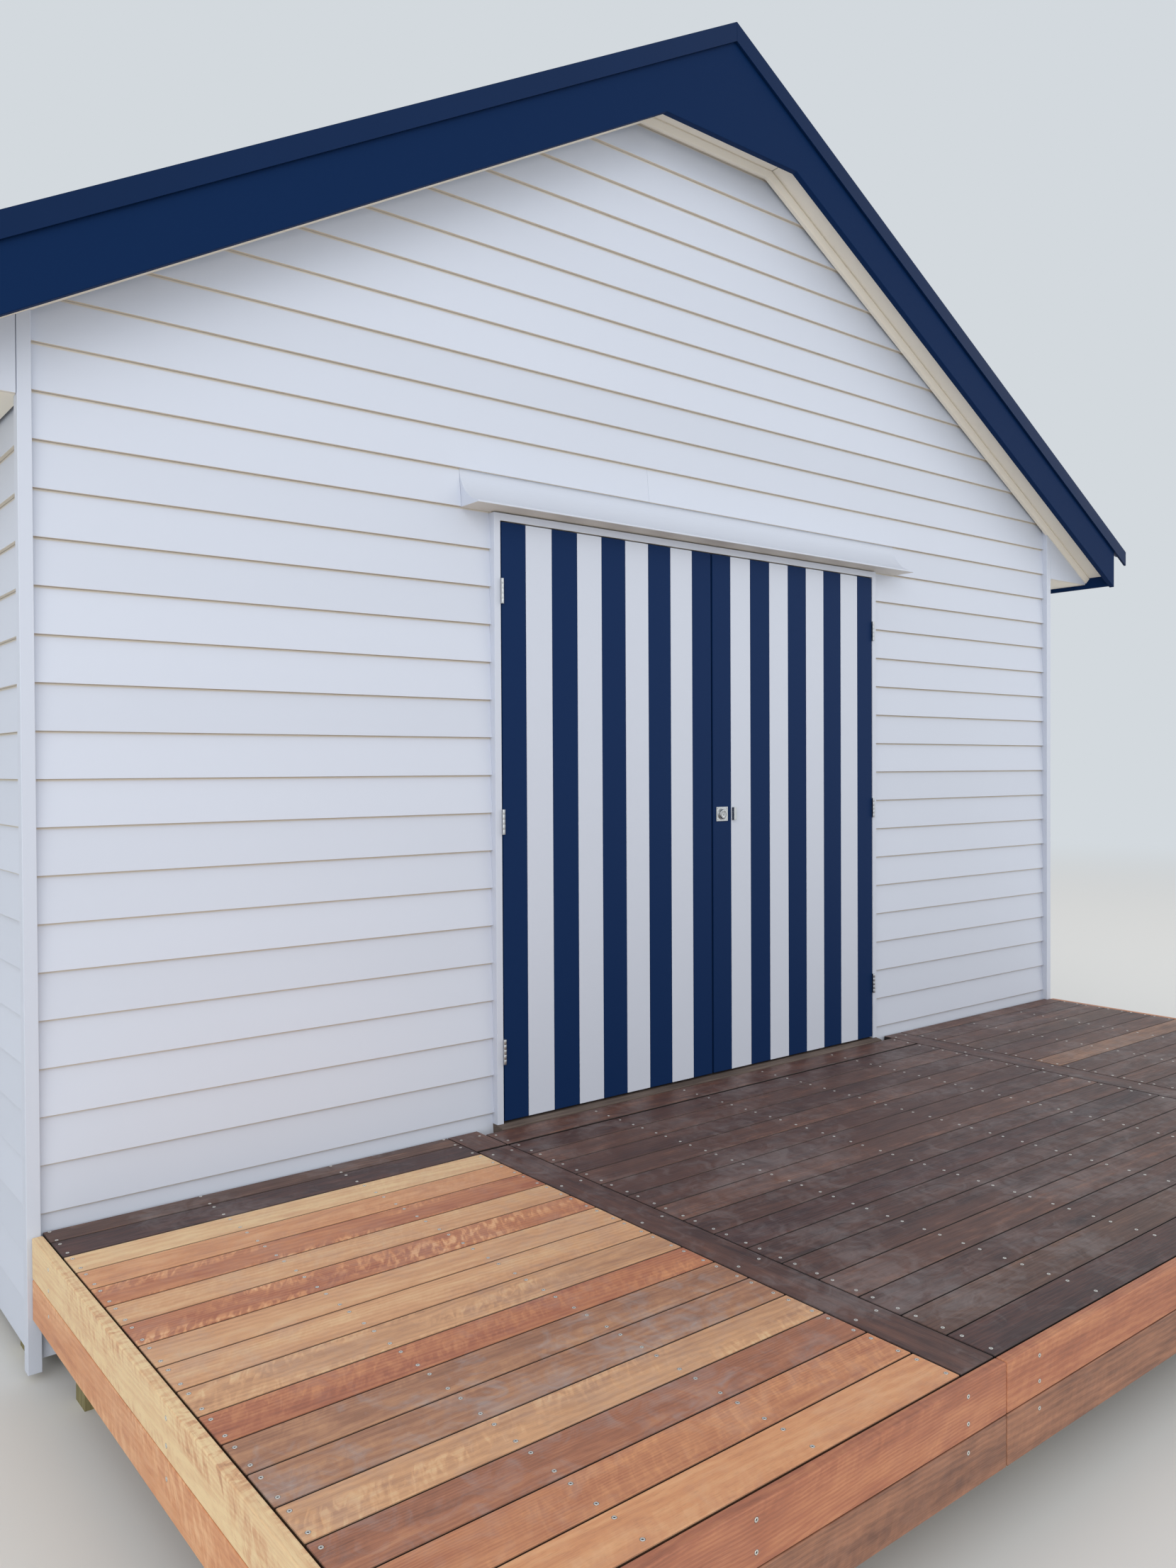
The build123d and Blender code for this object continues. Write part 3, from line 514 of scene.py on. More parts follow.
whitePaint = rolledAcrylic("rolledWhiteAcrylic", paint["white"], 0.5, 0.4, paint["underLapBounceLight"], lapped=True)
trimPaint = rolledAcrylic("brushedWhiteTrimPaint", paint["white"], 0.45, 0.4, paint["underTrimBounceLight"])
soffitPaint = rolledAcrylic("rolledWhiteSoffitPaint", paint["soffit"], 0.6, 0.3)
navyPaint = rolledAcrylic("rolledNavyAcrylic", paint["navy"], 0.6, 0.08)
doorPaint = rolledAcrylic("rolledNavyDoorPaint", paint["doorNavy"], 0.55, 0.1)
doorWhite = rolledAcrylic("rolledWhiteDoorPaint", paint["white"], 0.45, 0.4)
navySteel = coatedSteel("prepaintedNavySteel", steel["navy"])
stainless = worksSteel("brushedStainless", "#A9ABAC", "#D3D5D6", 0.34)
# paler, so that a head shows as a light ring
screwSteel = worksSteel("tumbledStainless", "#D2CEC6", "#F2EFE9", 0.52)
recess = darkRecess()
decking = dressedHardwood("dressedHardwoodDecking")
framePine = sawnTimber("roughSawnPine", "#C9AE80", "#8F774F", 0)
stumpPine = sawnTimber("treatedPineStump", "#9C9468", "#5F5A3E", 2)
liningBoard = sawnTimber("limedLiningBoard", "#D9CFB8", "#C2B59A", 2)
# weathered grey-brown, made as dark as the deck beside it: partly painted shade
sillHardwood = sawnTimber("weatheredShadedHardwoodSill", "#766860", "#473C36", 0)
print("finishes made")


# Weatherboards: bevel-backed boards, each lapping the one below
laps = {
    "height": 0.175,
    "lip": 0.014,
    "fall": 0.017,
    "depth": 0.020,
    "softEdge": 0.001,
    "buttGap": 0.0008,
    "underEave": 0.01,  # how far the side walls' boards stop under the eave
    "rows": 12,  # so that a board cut by the roof line keeps its slope
    # where the boards of a course meet, by the course's number from the ground, or in turn up the wall
    "frontJoints": {20: -0.343},
    "backJoints": (-0.9, 0.6, 1.5),
    "sideJoints": (-1.8, 0.0, 1.8),
    "jointedCourses": 22,  # the boards above these are short enough to run through
    "noApex": 1000.0,  # a roof line far above, so that nothing is cut
    "seed": 7,
}


def lappedBoardTree():
    # boards as wedges: thick at the lip, thin at the top, their ends cut to the roof line
    sizes = dict.fromkeys(("Lip", "Fall", "Depth", "Apex", "Slope"), "Float")
    tree, add, given = newTree("lappedBoards", sizes | {"Seed": "Int", "Paint": "Material"})
    tone = add("FunctionNodeRandomValue", {"Seed": given["Seed"]}, data_type="FLOAT").outputs[1]
    toned = {"Geometry": given["Geometry"], "Name": "boardTone", "Value": tone}
    points = add("GeometryNodeStoreNamedAttribute", toned)
    size = add("GeometryNodeInputNamedAttribute", {"Name": "size"}, data_type="FLOAT_VECTOR")
    corner = add("GeometryNodeInputNamedAttribute", {"Name": "corner"}, data_type="FLOAT_VECTOR")
    here = add("GeometryNodeInputPosition")
    cube = add("GeometryNodeMeshCube", {"Size": (1.0, 1.0, 1.0), "Vertices Z": laps["rows"]})
    marked = {"Geometry": cube, "Name": "corner", "Value": here}
    block = add("GeometryNodeStoreNamedAttribute", marked, data_type="FLOAT_VECTOR")
    boards = add("GeometryNodeInstanceOnPoints", {"Points": points, "Instance": block, "Scale": size})
    real = add("GeometryNodeRealizeInstances", {0: boards})
    unit = add("ShaderNodeSeparateXYZ", {0: corner}).outputs
    rise = add("ShaderNodeMath", {0: unit[2], 1: 0.5}, operation="ADD")
    front = add("ShaderNodeMath", {0: rise, 1: given["Fall"]}, operation="MULTIPLY")
    back = add("ShaderNodeMix", {0: rise, 2: given["Lip"], 3: given["Depth"]}, data_type="FLOAT")
    depthShare = add("ShaderNodeMath", {0: unit[1], 1: 0.5}, operation="ADD")
    inward = add("ShaderNodeMix", {0: depthShare, 2: front, 3: back}, data_type="FLOAT")
    x, y, z = add("ShaderNodeSeparateXYZ", {0: here}).outputs
    drop = add("ShaderNodeMath", {0: given["Apex"], 1: z}, operation="SUBTRACT")
    reach = add("ShaderNodeMath", {0: drop, 1: given["Slope"]}, operation="DIVIDE")
    negative = add("ShaderNodeMath", {0: reach, 1: -1.0}, operation="MULTIPLY")
    right = add("ShaderNodeMath", {0: x, 1: reach}, operation="MINIMUM")
    left = add("ShaderNodeMath", {0: right, 1: negative}, operation="MAXIMUM")
    place = add("ShaderNodeCombineXYZ", {0: left, 1: inward, 2: z})
    shaped = add("GeometryNodeSetPosition", {"Geometry": real, "Position": place})
    painted = add("GeometryNodeSetMaterial", {"Geometry": shaped, "Material": given["Paint"]})
    add("NodeGroupOutput", {0: painted})
    return tree


boardMaker = lappedBoardTree()


def staggered(places, turn=0):
    # one joint in each course, at each place in turn
    return {course: places[(course + turn) % len(places)] for course in range(laps["jointedCourses"])}


def courseBoards(start, finish, bottom, top, joints, doorway=None, flare=None):
    # (start, finish, bottom, top) of every board of one wall, round the doorway and beside the flared board
    boards = []
    gap = laps["buttGap"]
    for course in range(math.ceil((top - bottom) / lapGrid["cover"])):
        base = bottom + course * lapGrid["cover"]
        crest = min(base + laps["height"], top)
        spans = [(start, finish, base, crest)]
        if doorway and base < doorway[3] and crest > doorway[2]:
            spans = [(start, doorway[0], base, crest), (doorway[1], finish, base, crest)]
            if crest > doorway[3]:
                spans.append((doorway[0], doorway[1], doorway[3], crest))
            if base < doorway[2]:
                spans.append((doorway[0], doorway[1], base, doorway[2]))
        if flare and base < flare[2] < base + lapGrid["cover"]:
            spans = [(start, flare[0] - gap, base, crest), (flare[1] + gap, finish, base, crest)]
        if course in joints:
            x0, x1, z0, z1 = spans.pop()
            spans += [(x0, joints[course] - gap / 2, z0, z1), (joints[course] + gap / 2, x1, z0, z1)]
        boards += spans
    return boards


def lappedWall(name, node, boards, placing, seed, apex=laps["noApex"], slope=1.0):
    places = [((x0 + x1) / 2, 0, (z0 + z1) / 2) for x0, x1, z0, z1 in boards]
    sizes = [(x1 - x0, laps["depth"], z1 - z0) for x0, x1, z0, z1 in boards]
    values = {
        "Lip": laps["lip"], "Fall": laps["fall"], "Depth": laps["depth"],
        "Apex": apex, "Slope": slope, "Seed": seed, "Paint": whitePaint,
    }
    wall = grow(name, boardMaker, pointMesh(name, places, {"size": sizes}), values, placing)
    settle(rounded(wall, laps["softEdge"]), node)


def weatherboards():
    seed = laps["seed"]
    low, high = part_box("front_weatherboards")
    doorLow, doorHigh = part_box("door_frame")
    hoodLow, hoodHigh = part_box("door_hood")
    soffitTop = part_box("gable_soffits")[1].z
    doorway = (doorLow.x, doorHigh.x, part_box("door_sill")[0].z, doorHigh.z)
    flare = (hoodLow.x, hoodHigh.x, (hoodLow.z + hoodHigh.z) / 2)
    boards = courseBoards(-high.x, high.x, low.z, soffitTop, laps["frontJoints"], doorway, flare)
    placing = Matrix.Translation((0, low.y, 0))
    lappedWall("front_boards", "front_weatherboards", boards, placing, seed, high.z, roofSlope)

    low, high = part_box("back_weatherboards")
    boards = courseBoards(-high.x, high.x, low.z, soffitTop, staggered(laps["backJoints"]))
    placing = Matrix.Translation((0, high.y, 0)) @ Matrix.Rotation(math.pi, 4, "Z")
    lappedWall("back_boards", "back_weatherboards", boards, placing, seed + 1, high.z, roofSlope)

    for side, node in ((-1, "left_weatherboards"), (1, "right_weatherboards")):
        low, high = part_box(node)
        half = (high.y - low.y) / 2
        joints = staggered(laps["sideJoints"], side)
        boards = courseBoards(-half, half, low.z, high.z - laps["underEave"], joints)
        middle = (low.x if side < 0 else high.x, (low.y + high.y) / 2, 0)
        placing = Matrix.Translation(middle) @ Matrix.Rotation(side * math.pi / 2, 4, "Z")
        lappedWall(node.replace("weather", ""), node, boards, placing, seed + 3 + side)


weatherboards()
print("weatherboards lapped")


# Flared board over the doors
hood = {
    "lip": 0.008,
    "steps": 18,
    "edge": 0.0015,
}


def flaredBoard():
    # its top lies in the plane of its neighbours under the next lap, and its foot curves out to a thin lip
    low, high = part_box("door_hood")
    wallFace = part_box("front_weatherboards")[0].y
    crest = low.z + laps["height"]
    reach = wallFace - low.y
    rise = high.z - low.z - hood["lip"]
    chord = math.atan2(reach, rise)
    radius = math.hypot(reach, rise) / (2 * math.sin(chord))
    section = [(wallFace + laps["fall"] + laps["lip"] / 3, crest), (wallFace + laps["fall"], crest)]
    for i in range(hood["steps"] + 1):
        turn = 2 * chord * i / hood["steps"]
        z = high.z - radius * math.sin(turn)
        inward = laps["fall"] * (z - low.z) / laps["height"]
        section.append((wallFace + inward - radius * (1 - math.cos(turn)), z))
    section += [(section[-1][0], low.z), (wallFace + laps["lip"], low.z)]
    ends = [[(x, y, z) for y, z in section] for x in (low.x, high.x)]
    settle(rounded(skinned("flared_board", [ends], trimPaint), hood["edge"]), "door_hood")


flaredBoard()
print("flared board fitted")


# Planks: any straight board, with the grain's own place on it
def plankTree():
    tree, add, given = newTree("planks", {"Seed": "Int", "Finish": "Material"})
    facts = {}
    for label in ("size", "centre", "shift", "along", "across", "through"):
        facts[label] = add("GeometryNodeInputNamedAttribute", {"Name": label}, data_type="FLOAT_VECTOR")
    here = add("GeometryNodeInputPosition")
    room = {0: wood["sawnFrom"], 1: wood["sawnTo"], "Seed": given["Seed"]}
    draw = add("FunctionNodeRandomValue", room, data_type="FLOAT_VECTOR")
    points = given["Geometry"]
    for label, value in (("centre", here), ("shift", draw)):
        marked = {"Geometry": points, "Name": label, "Value": value}
        points = add("GeometryNodeStoreNamedAttribute", marked, data_type="FLOAT_VECTOR")
    cube = add("GeometryNodeMeshCube", {"Size": (1.0, 1.0, 1.0)})
    boards = add("GeometryNodeInstanceOnPoints", {"Points": points, "Instance": cube, "Scale": facts["size"]})
    real = add("GeometryNodeRealizeInstances", {0: boards})
    local = add("ShaderNodeVectorMath", {0: here, 1: facts["centre"]}, operation="SUBTRACT")
    grain = add("ShaderNodeCombineXYZ")
    for i, label in enumerate(("along", "across", "through")):
        part = add("ShaderNodeVectorMath", {0: local, 1: facts[label]}, operation="DOT_PRODUCT")
        tree.links.new(part.outputs["Value"], grain.inputs[i])
    moved = add("ShaderNodeVectorMath", {0: grain, 1: facts["shift"]}, operation="ADD")
    grained = {"Geometry": real, "Name": "grainPlace", "Value": moved}
    kept = add("GeometryNodeStoreNamedAttribute", grained, data_type="FLOAT_VECTOR")
    finished = add("GeometryNodeSetMaterial", {"Geometry": kept, "Material": given["Finish"]})
    add("NodeGroupOutput", {0: finished})
    return tree


plankMaker = plankTree()


def planks(name, boxes, material, seed, looks=None, sideShade=0.0):
    # one board in each box, with its grain along its longest side
    looks = looks or [(0.0, 0.0, 0.0, 0.0)] * len(boxes)
    sizes = [high - low for low, high in boxes]
    facts = {"along": [], "across": [], "through": []}
    for size in sizes:
        order = sorted(range(3), key=lambda i: -size[i])
        for found, longest in zip(facts.values(), order):
            found.append([float(axis == longest) for axis in range(3)])
    facts["size"] = sizes
    facts["look"] = [look[:3] for look in looks]
    facts["ripple"] = [look[3] for look in looks]
    facts["sideShade"] = [sideShade] * len(boxes)
    places = [(low + high) / 2 for low, high in boxes]
    return grow(name, plankMaker, pointMesh(name, places, facts), {"Seed": seed, "Finish": material})


deck = {
    "seed": 21,
    "edge": 0.0038,
    "edgeSteps": 3,
    "sideShade": 1.0,
    "fasciaEdge": 0.0032,
    "fasciaInset": 0.0011,  # opens the joints between the fascias
    "stopGap": 0.004,
    # kinds of board: tone from pale to dark, redness, dust, ripple
    "kinds": {
        "pale": (0.10, 0.2, 0.10, 0.15),
        "tan": (0.26, 0.25, 0.22, 0.12),
        "golden": (0.33, 0.10, 0.20, 0.45),
        "orange": (0.24, 0.80, 0.12, 0.15),
        "redTan": (0.38, 0.85, 0.22, 0.25),
        "red": (0.46, 1.00, 0.22, 0.30),
        "redRipple": (0.42, 1.00, 0.15, 1.00),
        "mauve": (0.52, 0.60, 0.40, 0.10),
        "greyBrown": (0.50, 0.15, 0.60, 0.15),
        "brown": (0.79, 0.35, 0.24, 0.10),
        "darkBrown": (0.87, 0.45, 0.27, 0.05),
        "purple": (0.94, 0.90, 0.22, 0.00),
        "greenGrey": (0.79, 0.00, 0.28, 0.00),
        "sapwood": (0.05, 0.00, 0.05, -0.75),
        "pink": (0.24, 0.95, 0.08, 0.55),
        "olive": (0.64, 0.00, 0.20, 0.10),
        "amber": (0.49, 0.90, 0.03, 0.15),
        "umber": (0.59, 0.30, 0.06, 0.10),
    },
    # the kinds in each bay from the front to the wall, and along the edges
    # painted shade: the middle and right bays, and the left bay's last two boards by the wall, get dark kinds
    # where the shed's shadow lies on the deck; the front fascias' darker kinds are partly painted shade
    "leftBay": "orange redTan mauve golden greyBrown greyBrown red golden tan tan redRipple tan redRipple "
               "orange pale purple greenGrey",
    "middleBay": "purple greenGrey darkBrown brown darkBrown darkBrown purple darkBrown brown darkBrown "
                 "darkBrown brown darkBrown brown darkBrown brown",
    "rightBay": "darkBrown brown greenGrey darkBrown brown purple darkBrown brown brown darkBrown olive "
                "brown darkBrown greenGrey brown darkBrown brown",
    "longBoards": "darkBrown brown darkBrown",
    "frontFascias": "amber umber amber umber amber umber",
    "sideFascias": "sapwood pink redTan golden",
}


def kinds(words):
    return [deck["kinds"][word] for word in deck[words].split()]


def splitRoundStops(low, high):
    # a board that would run into a corner stop is cut round it
    pieces = [(low, high)]
    for stopLow, stopHigh in solidBoxes("corner_stops"):
        if low.x < stopHigh.x and high.x > stopLow.x > 0 and low.y < stopHigh.y and high.y > stopLow.y:
            front = stopLow.y - deck["stopGap"]
            side = stopLow.x - deck["stopGap"]
            pieces = [
                (low, Vector((high.x, front, high.z))),
                (Vector((low.x, front, low.z)), Vector((side, high.y, high.z))),
            ]
    return pieces


def deckTimbers():
    stretches = solidBoxes("deck_long_boards")
    leftEdge, rightEdge = stretches[0][0].x, stretches[-1][0].x
    bays = {"leftBay": [], "middleBay": [], "rightBay": []}
    for low, high in sorted(solidBoxes("deck_boards"), key=lambda b: b[0].y):
        middle = (low.x + high.x) / 2
        bay = "leftBay" if middle < leftEdge else "rightBay" if middle > rightEdge else "middleBay"
        bays[bay].append((low, high))
    boxes, looks = [], []
    for bay, found in bays.items():
        for box, look in zip(found, kinds(bay)):
            parts = splitRoundStops(*box)
            boxes += parts
            looks += [look] * len(parts)
    for name, node, places, shades, seed in (
        ("deck_planks", "deck_boards", boxes, looks, 0),
        ("deck_cross_planks", "deck_long_boards", stretches, kinds("longBoards"), 1),
    ):
        boards = planks(name, places, decking, deck["seed"] + seed, shades, deck["sideShade"])
        settle(rounded(boards, deck["edge"], deck["edgeSteps"]), node)
    gap = deck["fasciaInset"]
    for name, node, words, seed, inset in (
        ("deck_front_edge", "deck_front_fascias", "frontFascias", 2, Vector((gap, 0, gap))),
        ("deck_side_edges", "deck_side_fascias", "sideFascias", 3, Vector((0, gap, gap))),
    ):
        found = sorted(solidBoxes(node), key=lambda b: (round(b[0].x, 2), -b[0].z))
        places = [(low + inset, high - inset) for low, high in found]
        boards = planks(name, places, decking, deck["seed"] + seed, kinds(words))
        settle(rounded(boards, deck["fasciaEdge"], deck["edgeSteps"]), node)
    return boxes, stretches


deckBoxes, longBoxes = deckTimbers()
print("deck laid")


# Screws
screws = {
    "headRadius": 0.0054,
    "rise": 0.0007,
    "driveRadius": 0.0022,
    "paintedShadowRing": 0.0007,  # a painted shadow ring round a head, for the shade where it sinks into the timber
    "sides": 12,
    "driveFloor": 0.15,  # the recess's floor as a share of the rise
    "driveMouth": 1.1,  # its mouth and the head's shoulder as shares of their radii
    "shoulder": 0.92,
    "foot": 0.95,  # the part in the timber, as a share of what shows
    "skirt": 0.0001,
    "sunk": 0.001,
    "seed": 5,
    "pair": 0.041,  # either side of a board's centre line
    "leastWidth": 2.2,  # how many times that size a board must be wide to have screws
    "longBoardStart": 0.058,
    "longBoardStep": 0.42,
    "fasciaColumns": (-2.75, -2.138, -1.4285, -1.1245, -0.36, 0.405, 1.17, 1.44, 2.13, 2.80),
    "fasciaDrops": (0.030, 0.094, 0.162),
    "sideRows": (-4.72, -3.7765, -2.7615),
    "sideDrops": (0.035, 0.098, 0.174),
}


def screwTree():
    # a head on each place, turned to face outwards and spun at random, with its recess in another material,
    # which paints the shade
    sizes = {"Head": "Object", "Seed": "Int", "Rim": "Material", "Drive": "Material"}
    tree, add, given = newTree("screwHeads", sizes)
    facing = add("GeometryNodeInputNamedAttribute", {"Name": "facing"}, data_type="FLOAT_VECTOR")
    driven = add("GeometryNodeInputNamedAttribute", {"Name": "driven"}, data_type="FLOAT")
    head = add("GeometryNodeObjectInfo", {"Object": given["Head"]}).outputs["Geometry"]
    turn = add("FunctionNodeAlignRotationToVector", {"Vector": facing}, axis="Z")
    spin = add("FunctionNodeRandomValue", {2: 0.0, 3: 2 * math.pi, "Seed": given["Seed"]}, data_type="FLOAT")
    spun = add("FunctionNodeAxisAngleToRotation", {"Axis": (0.0, 0.0, 1.0), "Angle": spin.outputs[1]})
    both = add("FunctionNodeRotateRotation", {0: turn, 1: spun}, rotation_space="LOCAL")
    stamped = {"Points": given["Geometry"], "Instance": head, "Rotation": both}
    real = add("GeometryNodeRealizeInstances", {0: add("GeometryNodeInstanceOnPoints", stamped)})
    rims = add("GeometryNodeSetMaterial", {"Geometry": real, "Material": given["Rim"]})
    darkened = {"Geometry": rims, "Selection": driven, "Material": given["Drive"]}
    drives = add("GeometryNodeSetMaterial", darkened)
    add("NodeGroupOutput", {0: drives})
    return tree


screwMaker = screwTree()


def screwHead(radius, rise, drive, ring=0.0):
    # a countersunk head with its drive recess in painted shade, and with a painted shadow ring round it where
    # it has one
    floor, skirt = rise * screws["driveFloor"], screws["skirt"]
    profile = [(0, floor), (drive, floor), (drive * screws["driveMouth"], rise)]
    profile += [(radius * screws["shoulder"], rise), (radius, skirt)]
    if ring:
        profile.append((radius + ring, skirt))
    profile += [((radius + ring) * screws["foot"], -screws["sunk"]), (0, -screws["sunk"])]
    head = lathe("screwHead", profile, screws["sides"], stainless)
    driven = head.data.attributes.new("driven", "FLOAT", "FACE")
    for face in head.data.polygons:
        out = face.center.xy.length
        # the drive recess and the ring round the head take the painted shade
        driven.data[face.index].value = float(face.center.z > 0 and not drive <= out <= radius)
    return head


def driveScrews(name, places, facing, head, seed, rim=stainless):
    values = {"Head": head, "Seed": seed, "Rim": rim, "Drive": recess}
    piece = grow(name, screwMaker, pointMesh(name, places, {"facing": facing}), values)
    bpy.data.objects.remove(head)
    return piece


def deckScrews():
    columns = [(low.x + high.x) / 2 for low, high in solidBoxes("deck_joists")]
    places = []
    for low, high in deckBoxes:
        middle = (low.y + high.y) / 2
        if high.y - low.y < screws["leastWidth"] * screws["pair"]:
            continue
        for x in columns:
            if low.x < x < high.x:
                places += [(x, middle - screws["pair"], high.z), (x, middle + screws["pair"], high.z)]
    for low, high in longBoxes:
        y = high.y - screws["longBoardStart"]
        while y > low.y:
            places += [(x, y, high.z) for x in columns if low.x < x < high.x]
            y -= screws["longBoardStep"]
    facing = [(0, 0, 1)] * len(places)
    low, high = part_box("deck_front_fascias")
    for x in screws["fasciaColumns"]:
        for drop in screws["fasciaDrops"]:
            places.append((x, low.y, high.z - drop))
            facing.append((0, -1, 0))
    low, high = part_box("deck_side_fascias")
    for y in screws["sideRows"]:
        for drop in screws["sideDrops"]:
            places += [(low.x, y, high.z - drop), (high.x, y, high.z - drop)]
            facing += [(-1, 0, 0), (1, 0, 0)]
    head = screwHead(screws["headRadius"], screws["rise"], screws["driveRadius"], screws["paintedShadowRing"])
    piece = driveScrews("deck_screws", places, facing, head, screws["seed"], screwSteel)
    settle(piece)


deckScrews()
print("screws driven")


# Doors: upright boards on ledges and braces, in stripes
doors = {
    "stripe": 0.132,
    "stripes": 9,
    "boardThickness": 0.019,
    "jointGap": 0.0010,
    "edge": 0.0018,
    "ledgeHeight": 0.130,
    "braceWidth": 0.110,
    "braceInset": 0.165,  # from a leaf's edge to the end of a brace
    "ledgeEdge": 0.002,
    "seed": 3,
}


def slantedBar(low, high, start, finish):
    # a bar between two depths and two points, cut level at both ends, with its width measured level
    half = doors["braceWidth"] / 2
    (x0, z0), (x1, z1) = start, finish
    corners = [(x0 - half, z0), (x0 + half, z0), (x1 + half, z1), (x1 - half, z1)]
    return extruded("brace", [(low, high, corners)], trimPaint)


def doorLeaf(side, node):
    leaf = bodyOf[node]
    low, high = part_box(node)
    hingeEdge, meetingEdge = (low.x, high.x) if side < 0 else (high.x, low.x)
    end = (high.x - low.x - (doors["stripes"] - 2) * doors["stripe"]) / 2
    back = low.y + doors["boardThickness"]
    gap = doors["jointGap"] / 2
    stripes = {"navy": [], "white": []}
    x = hingeEdge
    for i in range(doors["stripes"]):
        step = end if i in (0, doors["stripes"] - 1) else doors["stripe"]
        x0, x1 = sorted((x, x - side * step))
        x -= side * step
        box = (Vector((x0 + gap, low.y, low.z)), Vector((x1 - gap, back, high.z)))
        stripes["white" if i % 2 else "navy"].append(box)
    for colour, material, slot in (("navy", doorPaint, "navy_door"), ("white", doorWhite, "white_trim")):
        boards = planks(f"{leaf}_{colour}_boards", stripes[colour], material, doors["seed"])
        settle(rounded(boards, doors["edge"]), node)
    half = doors["ledgeHeight"] / 2
    ledges = []
    for hingeLow, hingeHigh in sorted(solidBoxes(node + "_hinge_leaves"), key=lambda b: b[0].z):
        z = (hingeLow.z + hingeHigh.z) / 2
        ledges.append((Vector((low.x, back, z - half)), Vector((high.x, high.y, z + half))))
    parts = [planks("ledges", ledges, trimPaint, doors["seed"] + 1)]
    for lower, upper in zip(ledges, ledges[1:]):
        foot = (hingeEdge - side * doors["braceInset"], lower[1].z)
        head = (meetingEdge + side * doors["braceInset"], upper[0].z)
        parts.append(slantedBar(back, high.y, foot, head))
    rails = joinMeshes(f"{leaf}_ledges_and_braces", parts)
    settle(rounded(rails, doors["ledgeEdge"]), node)


doorLeaf(-1, "left_door")
doorLeaf(1, "right_door")
print("doors boarded")


# Lock and pull on the right leaf
lock = {
    "plateThickness": 0.003,
    "plateEdge": 0.0008,
    "pullThickness": 0.002,
    "bodySteps": 48,
    "crease": 35,  # degrees between two rings of the face that meet in a sharp line
    # rings of the lock's face as (radius, height above the plate)
    "rings": (
        (0.0, 0.0092), (0.0072, 0.0092), (0.0075, 0.0083), (0.0083, 0.0083), (0.0086, 0.0096),
        (0.0142, 0.0104), (0.0146, 0.0086), (0.0162, 0.0086), (0.0166, 0.0108), (0.0196, 0.0104),
        (0.0222, 0.0066), (0.0226, 0.0030), (0.0240, 0.0030), (0.0243, 0.0046), (0.0256, 0.0042),
        (0.0260, 0.0030), (0.0260, -0.0005), (0.0, -0.0005),
    ),
    "keyWidth": 0.0013,
    "keyLength": 0.0085,
    "keyRadius": 0.0021,
    "keyProud": 0.0001,  # keeps the slot's face in front of the plug's
    "keySink": 0.0015,
    "screwInset": 0.007,
    "screwRadius": 0.0028,
    "screwRise": 0.0006,
    "screwDrive": 0.0013,
    "seed": 8,
}


def keyhole(centre, front):
    # a narrow slot with a round foot, cut a little into the plug, and dark as painted shade
    turns = [math.radians(a) for a in range(-240, 61, 20)]
    outline = [(lock["keyRadius"] * math.cos(t), lock["keyRadius"] * math.sin(t)) for t in turns]
    outline += [(lock["keyWidth"] / 2, lock["keyLength"]), (-lock["keyWidth"] / 2, lock["keyLength"])]
    corners = [(centre.x + x, centre.z - lock["keyLength"] / 2 + z) for x, z in outline]
    return extruded("lock_keyhole", [(front - lock["keyProud"], front + lock["keySink"], corners)], recess)


def lockAndPull():
    (low, high), (pullLow, pullHigh) = sorted(solidBoxes("door_lock"), key=lambda b: b[0].x)[:2]
    doorFace = high.y
    plateFace = doorFace - lock["plateThickness"]
    thin = lock["pullThickness"]
    centre = (low + high) / 2
    outlines = []
    for x0, x1, y0, y1, z0, z1 in (
        (low.x, high.x, plateFace, doorFace, low.z, high.z),
        (pullLow.x, pullHigh.x, doorFace - thin, doorFace, pullLow.z, pullHigh.z),
        (pullLow.x, pullLow.x + thin, pullLow.y + thin, doorFace - thin, pullLow.z, pullHigh.z),
        (pullLow.x, pullHigh.x, pullLow.y, pullLow.y + thin, pullLow.z, pullHigh.z),
    ):
        outlines.append((y0, y1, [(x0, z0), (x1, z0), (x1, z1), (x0, z1)]))
    plates = rounded(extruded("lock_and_pull", outlines, stainless), lock["plateEdge"])
    face = lathe("lock_face", lock["rings"], lock["bodySteps"], stainless)
    outward = Matrix.Rotation(math.radians(90), 4, "X")
    face.data.transform(Matrix.Translation((centre.x, plateFace, centre.z)) @ outward)
    face.data.shade_smooth()
    face.modifiers.new("creases", "EDGE_SPLIT").split_angle = math.radians(lock["crease"])
    inset = lock["screwInset"]
    heights = (low.z + inset, high.z - inset)
    places = [(x, plateFace, z) for x in (low.x + inset, high.x - inset) for z in heights]
    head = screwHead(lock["screwRadius"], lock["screwRise"], lock["screwDrive"])
    heads = driveScrews("lock_screws", places, [(0, -1, 0)] * len(places), head, lock["seed"])
    for piece in (plates, face, heads, keyhole(centre, plateFace - lock["rings"][0][1])):
        settle(piece, "door_lock")


lockAndPull()
print("lock fitted")


# Roof sheets
roofing = {
    "pitch": 0.0762,
    "depth": 0.0165,
    "thickness": 0.0009,
    "stepsPerWave": 10,
    "screwEvery": 3,  # waves from one screw to the next
    # a hexagon head on its washer, as (radius, height)
    "screw": (
        (0.0, 0.0060), (0.0046, 0.0056), (0.0050, 0.0018), (0.0078, 0.0012),
        (0.0080, -0.0010), (0.0, -0.0010),
    ),
    "screwSides": 12,
    "capClear": 0.012,
    "seed": 9,
}
roofSides = ((-1, "left_roof_sheet"), (1, "right_roof_sheet"))


